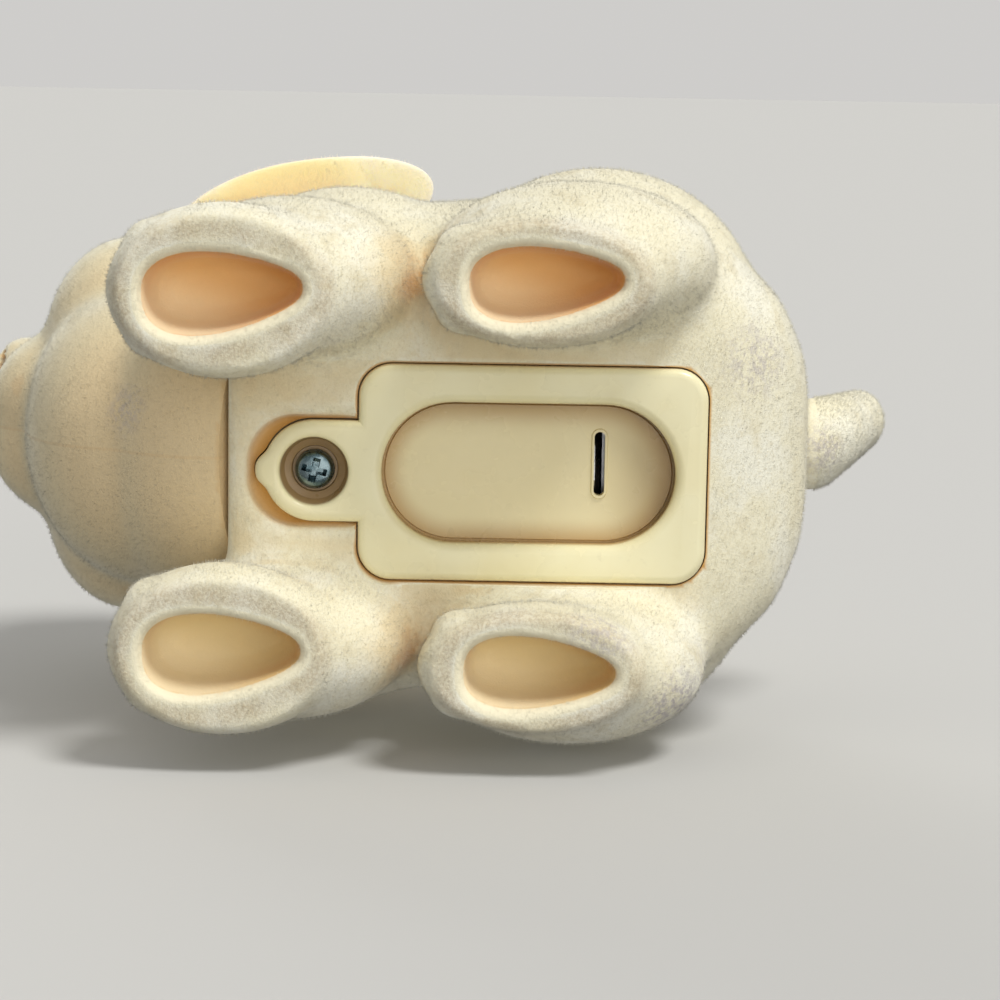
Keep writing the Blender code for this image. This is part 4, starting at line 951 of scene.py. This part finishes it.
def tail():
    """The stubby tail, melted from a row of swellings that rise to a blunt tip."""
    parts = []
    base = rump_y - 0.0006
    for step in range(9):
        t = step / 8
        radius = 0.0050 + (0.0034 - 0.0050) * t
        y = base + radius * 0.2 + (half_length - base - radius * 1.2) * t
        parts.append(swelling((0.0018 * t, y, tail_z + 0.0070 * t * t), (radius, radius * 0.9, radius), 32))
    stub = join(parts, "tail_stub")
    melt(stub, 0.00035, 6)
    slice_off(stub, (0, base, 0), (0, 1, 0), outer=False)
    peg = turned("peg", rod(0.0020, -0.0066, 0.002), tail_place, 32)
    cut(stub, peg, "UNION")
    shade(stub, 50)
    dress(stub, flock("cream_flock_tail", False, [((0, 0.0425, 0.028), 0.004, 0.6)]))
    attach(stub, "tail")
    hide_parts("tail")
    return stub


# Battery door

def quarter(radius, shares=(0, 0.2, 0.4, 0.6, 0.8, 1)):
    """(inset, rise) pairs of a quarter round."""
    return [(radius * (1 - math.sin(math.pi / 2 * share)), radius * (1 - math.cos(math.pi / 2 * share)))
            for share in shares]


def cross_slot(width, length):
    """The outline of the pull slot, which lies across the door."""
    points = reversed(stadium((slot_x, slot_y), width, length, 12))
    return [(slot_x + y - slot_y, slot_y + x - slot_x) for x, y in points]


def mouth(grow):
    """The outline of the door's recess."""
    return stadium((door_x, recess_y), recess_width + 2 * grow, recess_length + 2 * grow)


def battery_door():
    """The moulded door: rounded rim, sunk floor with its pull slot, screw lug with a raised collar."""
    rim = quarter(0.0009)
    levels = [(door_outline(-inset), door_bottom + rise) for inset, rise in rim]
    door = prism("battery_door_plate", levels + [(door_outline(0), door_top)])
    levels = [(lug_outline(-inset), door_bottom + rise) for inset, rise in rim]
    cut(door, prism("lug", levels + [(lug_outline(0), door_top)]), "UNION")
    boss = arc((door_x, screw_y), 0.0047, 0, 355, 71)
    cut(door, prism("boss", [(boss, door_bottom + 0.0007), (boss, door_bottom + 0.0034)]), "UNION")
    pan = mouth(0.0011)
    cut(door, prism("pan", [(pan, door_bottom + 0.0007), (pan, recess_top + 0.0010)]), "UNION")
    levels = [(mouth(0.0010), door_bottom - 0.002)]
    levels += [(mouth(inset), door_bottom + rise)
               for inset, rise in quarter(0.0010, (0, 0.15, 0.3, 0.45, 0.6, 0.8, 1))]
    groove_top = recess_top + 0.00025
    levels += [(mouth(0), groove_top), (mouth(-0.00022), groove_top), (mouth(-0.00034), recess_top)]
    cut(door, prism("recess", levels))
    inner = cross_slot(slot_width + 0.0004, slot_length + 0.0005)
    ridge = cross_slot(slot_width + 0.0008, slot_length + 0.0009)
    cut(door, prism("slot_ridge", [(inner, recess_top - 0.00022), (ridge, recess_top + 0.0002)]), "UNION")
    slot = cross_slot(slot_width, slot_length)
    cut(door, prism("pull_slot", [(slot, recess_top - 0.002), (slot, recess_top + 0.003)]))
    well = [(well_radius + 0.0005, door_bottom - 0.002)]
    well += [(well_radius + inset, door_bottom + rise) for inset, rise in quarter(0.0005)]
    well += [(0.0034, 0.0134), (0.0031, 0.0140), (0.0024, 0.0143), (0.0023, 0.0146)]
    well += [(0.0013, 0.0146), (0.0013, 0.018)]
    cut(door, turned("screw_well", well, Matrix.Translation((door_x, screw_y, 0)), 72))
    end = door_y + door_length / 2
    for sign in (1, -1):
        x = door_x + sign * 0.0060
        low = (x - 0.0015, end - 0.0021, door_top - 0.0005)
        cut(door, block(low, (x + 0.0015, end - 0.0005, door_top + 0.0012)), "UNION")
    shade(door, 32)
    dress(door, door_plastic)
    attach(door, "door")
    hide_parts("battery_door")


def door_screw():
    """The cross-head screw: a rounded pan head with a tapered cross and a threaded shank."""
    head_z = door_bottom + 0.0012
    seat_z = head_z + 0.0013
    pan = ((0.0002, 0), (0.0011, 0.00005), (0.0016, 0.00016), (0.00188, 0.0004), (0.0020, 0.0007))
    profile = [(radius, head_z + rise) for radius, rise in pan]
    profile += [(0.00204, head_z + 0.0009), (0.00204, seat_z), (0.00085, seat_z)]
    for turn in range(16):
        z = seat_z + 0.0003 + turn * 0.00036
        profile += [(0.0010, z), (0.00082, z + 0.00018)]
    profile += [(0.0004, seat_z + 0.0066), (0.0002, seat_z + 0.0070)]
    screw = turned("door_screw_detail", profile, Matrix.Translation((door_x, screw_y, 0)), 64)
    for angle in (14, 104):
        bpy.ops.mesh.primitive_cube_add(
            size=1, location=(door_x, screw_y, head_z + 0.0001), scale=(0.0035, 0.00100, 0.0020))
        wing = bpy.context.object
        wing.rotation_euler = (0, 0, math.radians(angle))
        settle(wing)
        choose(wing, "FACE", lambda face: face.normal.z > 0.9)
        bpy.ops.transform.resize(value=(0.42, 0.5, 1))
        done()
        cut(screw, wing)
    shade(screw, 30)
    dress(screw, screw_zinc)
    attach(screw, "screw")
    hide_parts("door_screw")


# Face

def eye(name, side):
    """A glossy domed eye with a rounded rim."""
    profile = [(0.0001, -eye_radius), (eye_radius, -eye_radius), (eye_radius, 0)]
    for step in range(1, 12):
        angle = math.radians(90 * step / 12)
        profile.append((eye_radius * math.cos(angle), eye_radius * 0.45 * math.sin(angle)))
    profile.append((0.0001, eye_radius * 0.45))
    ball = turned(name, profile, eye_place(side), 48)
    shade(ball, 40)
    dress(ball, eye_gloss)
    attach(ball, "head")
    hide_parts(name.replace("_dome", ""))


def nose():
    """A soft three-cornered nose with two nostrils."""
    parts = [swelling(nose_spot, (0.0037, 0.0031, 0.0022))]
    parts.append(swelling(nose_spot + Vector((0, 0.0002, -0.0008)), (0.0024, 0.0027, 0.0018)))
    pad = join(parts, "nose_pad")
    melt(pad, 0.0002, 4)
    for sign in (1, -1):
        spot = nose_spot + Vector((sign * 0.0015, -0.0030, -0.0004))
        cut(pad, swelling(spot, (0.0006, 0.0007, 0.0004), 20))
    cut(pad, turned("peg", rod(0.0012, -0.0040, 0), aim(nose_spot, (0, -1, 0)), 24), "UNION")
    shade(pad, 60)
    dress(pad, nose_satin)
    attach(pad, "head")
    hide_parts("nose")


# Materials that several pieces share
ear_flock = flock("ear_flock", False, (), True)
# The ears' faint emission is a painted glow, standing in for light passing through the thin flap
put(ear_flock.node_tree.nodes["Principled BSDF"],
    Emission_Color=(1.0, 0.82, 0.55, 1), Emission_Strength=0.27,
    Subsurface_Weight=0.9, Subsurface_Radius=(1.0, 0.82, 0.58), Subsurface_Scale=0.003)
door_plastic = moulded("door_plastic", (0.92, 0.865, 0.57), (0.90, 0.83, 0.52), 120, 0.27, relief=0.000008)
screw_zinc = moulded("screw_zinc", (0.24, 0.31, 0.33), (0.12, 0.18, 0.20), 900, 0.24, 1.0)
eye_gloss = moulded("eye_gloss", (0.010, 0.006, 0.004), (0.006, 0.004, 0.003), 300, 0.06, relief=0.000002)
nose_satin = moulded("nose_satin", (0.045, 0.022, 0.014), (0.03, 0.014, 0.010), 700, 0.34, relief=0.00003)


def shade_recess(stuff):
    """Painted shade on the door: a browner, deeper tone deep in the recess and where its floor runs up to
    its wall, painted shadow along its left and back walls, and painted shade down the screw well.
    """
    tree = stuff.node_tree
    shader = tree.nodes["Principled BSDF"]
    base = shader.inputs["Base Color"].links[0].from_socket
    place = node(tree, "TexCoord").outputs["Object"]
    parts = axes(tree, place)
    reach = recess_length / 2 - recess_width / 2
    held = node(tree, "Clamp")
    put(held, Min=-reach, Max=reach)
    tree.links.new(reckon(tree, "SUBTRACT", parts["Y"], recess_y), held.inputs["Value"])
    middle = node(tree, "CombineXYZ")
    put(middle, X=door_x)
    tree.links.new(reckon(tree, "ADD", held.outputs[0], recess_y), middle.inputs["Y"])
    tree.links.new(parts["Z"], middle.inputs["Z"])
    away = node(tree, "VectorMath", operation="DISTANCE")
    tree.links.new(place, away.inputs[0])
    tree.links.new(middle.outputs[0], away.inputs[1])
    deep = band(tree, parts["Z"], door_bottom + 0.0007, recess_top)
    edge = band(tree, away.outputs["Value"], recess_width / 2 - 0.0028, recess_width / 2)
    # Painted shade deepening into the recess, and painted shadow along its left (+X) and back (+Y) walls
    colour = tint(tree, base, recess_floor_shade, times(tree, deep, 0.75))
    for tone, where, amount in (
        (recess_edge_shade, edge, 0.80),
        (recess_left_shadow, band(tree, parts["X"], 0.0020, 0.0066), 0.50),
        (recess_back_shadow, band(tree, parts["Y"], 0.0165, 0.0262), 0.82),
    ):
        colour = tint(tree, colour, tone, times(tree, times(tree, where, deep), amount))
    # Painted shade down the screw well
    well = near(tree, place, (door_x, screw_y, belly_z + 0.0010), 0.0037, 0.0045)
    well = times(tree, well, band(tree, parts["Z"], door_bottom + 0.0003, door_bottom + 0.0012))
    colour = tint(tree, colour, well_shade, times(tree, well, 0.9))
    tree.links.new(colour, shader.inputs["Base Color"])


shade_recess(door_plastic)


# Finishes for the works inside, which the open door and the loose screw show:
# name, colour, second colour, scale, roughness, metallic and relief where not plain, and the nodes
inside_finishes = (
    ("inner_plastic", (0.62, 0.56, 0.38), (0.56, 0.50, 0.33), 150, 0.5,
     ("battery_housing", "neck_spindle", "neck_washer")),
    ("plated_steel", (0.62, 0.62, 0.63), (0.50, 0.50, 0.52), 600, 0.30, 1.0,
     ("button_cell_1", "button_cell_2", "button_cell_3", "positive_contact", "negative_contact",
      "board_screw_1", "board_screw_2", "neck_screw", "tail_washer", "screw_retainer", "sensor_ball")),
    ("board_green", (0.030, 0.16, 0.07), (0.02, 0.12, 0.05), 500, 0.42, ("circuit_board",)),
    ("black_epoxy", (0.018, 0.018, 0.020), (0.03, 0.03, 0.032), 800, 0.4,
     ("chip_cover", "capacitor", "resistor_1", "resistor_2", "resistor_3")),
    ("magnet_grey", (0.11, 0.11, 0.12), (0.08, 0.08, 0.09), 900, 0.55, 0.4, ("speaker_magnet",)),
    ("speaker_steel", (0.55, 0.56, 0.56), (0.44, 0.45, 0.45), 500, 0.35, 1.0, ("speaker_frame",)),
    ("cone_paper", (0.045, 0.042, 0.04), (0.07, 0.065, 0.06), 1400, 0.85, 0.0, 0.00006, ("speaker_cone",)),
    ("sensor_brass", (0.72, 0.55, 0.24), (0.62, 0.46, 0.20), 700, 0.32, 1.0, ("sensor_can",)),
    ("red_insulation", (0.50, 0.02, 0.02), (0.40, 0.015, 0.015), 900, 0.45, ("red_battery_wire",)),
    ("black_insulation", (0.02, 0.02, 0.02), (0.035, 0.033, 0.03), 900, 0.45,
     ("black_battery_wire", "speaker_wire_1", "speaker_wire_2")),
)


def dress_insides():
    """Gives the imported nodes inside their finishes."""
    for *finish, names in inside_finishes:
        stuff = moulded(*finish)
        for name in names:
            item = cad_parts[name]
            if not item.material_slots:
                item.data.materials.append(stuff)
            for slot in item.material_slots:
                slot.material = stuff


# Studio

def studio_surface(name, colour):
    """Pale paper that only the camera sees, from its front: it takes shadows and gives none of its own."""
    stuff = bpy.data.materials.new(name)
    stuff.use_nodes = True
    tree = stuff.node_tree
    tree.nodes.clear()
    paper = node(tree, "BsdfDiffuse")
    put(paper, Color=(*colour, 1))
    clear = node(tree, "BsdfTransparent")
    path = node(tree, "LightPath")
    front = reckon(tree, "SUBTRACT", 1.0, node(tree, "NewGeometry").outputs["Backfacing"])
    amount = times(tree, front, path.outputs["Is Camera Ray"])
    mix = node(tree, "MixShader")
    tree.links.new(amount, mix.inputs[0])
    tree.links.new(clear.outputs[0], mix.inputs[1])
    tree.links.new(paper.outputs[0], mix.inputs[2])
    out = node(tree, "OutputMaterial")
    tree.links.new(mix.outputs[0], out.inputs["Surface"])
    return stuff


def studio():
    """A pale floor under the soles, a pale table at the side the toy lies on, daylight and the camera."""
    paper = studio_surface("studio_paper", (0.60, 0.60, 0.59))
    bpy.ops.mesh.primitive_plane_add(size=60, location=(0, 0, 0))
    floor = bpy.context.object
    floor.name = "studio_floor"
    bpy.ops.mesh.primitive_plane_add(size=60, location=(-0.0300, 0, 0), rotation=(0, math.radians(90), 0))
    table = bpy.context.object
    table.name = "studio_table"
    for sheet in (floor, table):
        settle(sheet)
        dress(sheet, paper)
    world = bpy.data.worlds.new("studio_air")
    bpy.context.scene.world = world
    world.use_nodes = True
    tree = world.node_tree
    air = tree.nodes["Background"]
    put(air, Color=(1.0, 0.985, 0.96, 1))
    across = axes(tree, node(tree, "TexCoord").outputs["Generated"])["X"]
    level = node(tree, "Mix", data_type="FLOAT")
    tree.links.new(node(tree, "LightPath").outputs["Is Camera Ray"], level.inputs[0])
    tree.links.new(band(tree, across, -0.7, 0.4, 0.17, 0.43), level.inputs[2])
    level.inputs[3].default_value = 0.62
    tree.links.new(level.outputs[0], air.inputs["Strength"])
    for name, direction, strength, softness in (
        ("window", (0.80, 0.38, -0.30), 1.90, 18),
        ("overhead", (0.25, -0.35, 0.90), 1.20, 35),
        ("fill", (0.05, 0.35, -1.0), 0.92, 60),
    ):
        lamp = bpy.data.lights.new(name, "SUN")
        lamp.energy = strength
        lamp.angle = math.radians(softness)
        lamp.color = (1.0, 0.985, 0.95)
        bring_in(name, lamp).rotation_euler = Vector(direction).to_track_quat("Z", "Y").to_euler()
    tilt = math.radians(8.5)
    back = Vector((math.sin(tilt), 0, -math.cos(tilt)))
    right = Vector((0, 1, 0))
    spot = Vector((-0.0037, 0.0078, 0.012)) + 0.280 * back
    turn = Matrix((right, back.cross(right), back)).transposed().to_4x4()
    lens = bpy.data.cameras.new("photo_camera")
    lens.sensor_fit = "HORIZONTAL"
    lens.angle = math.radians(20.6)
    lens.clip_start = 0.01
    camera = bring_in("photo_camera", lens)
    camera.matrix_world = Matrix.Translation(spot) @ turn @ Matrix.Rotation(math.radians(1), 4, "Z")
    bpy.context.scene.camera = camera
    bpy.context.scene.view_settings.view_transform = "Standard"


studio()
body = finish_body()
head = finish_head()
for number in (1, 2, 3, 4):
    nap(body, f"body_nap_{number}", 48000, "body", number)
for number in (1, 2):
    nap(head, f"head_nap_{number}", 40000, "head", number)
nap(ear("left_ear_flap", 1), "left_ear_nap", 12000, "head")
nap(ear("right_ear_flap", -1), "right_ear_nap", 12000, "head")
nap(tail(), "tail_nap", 9000, "tail")
battery_door()
door_screw()
eye("left_eye_dome", 1)
eye("right_eye_dome", -1)
nose()
dress_insides()
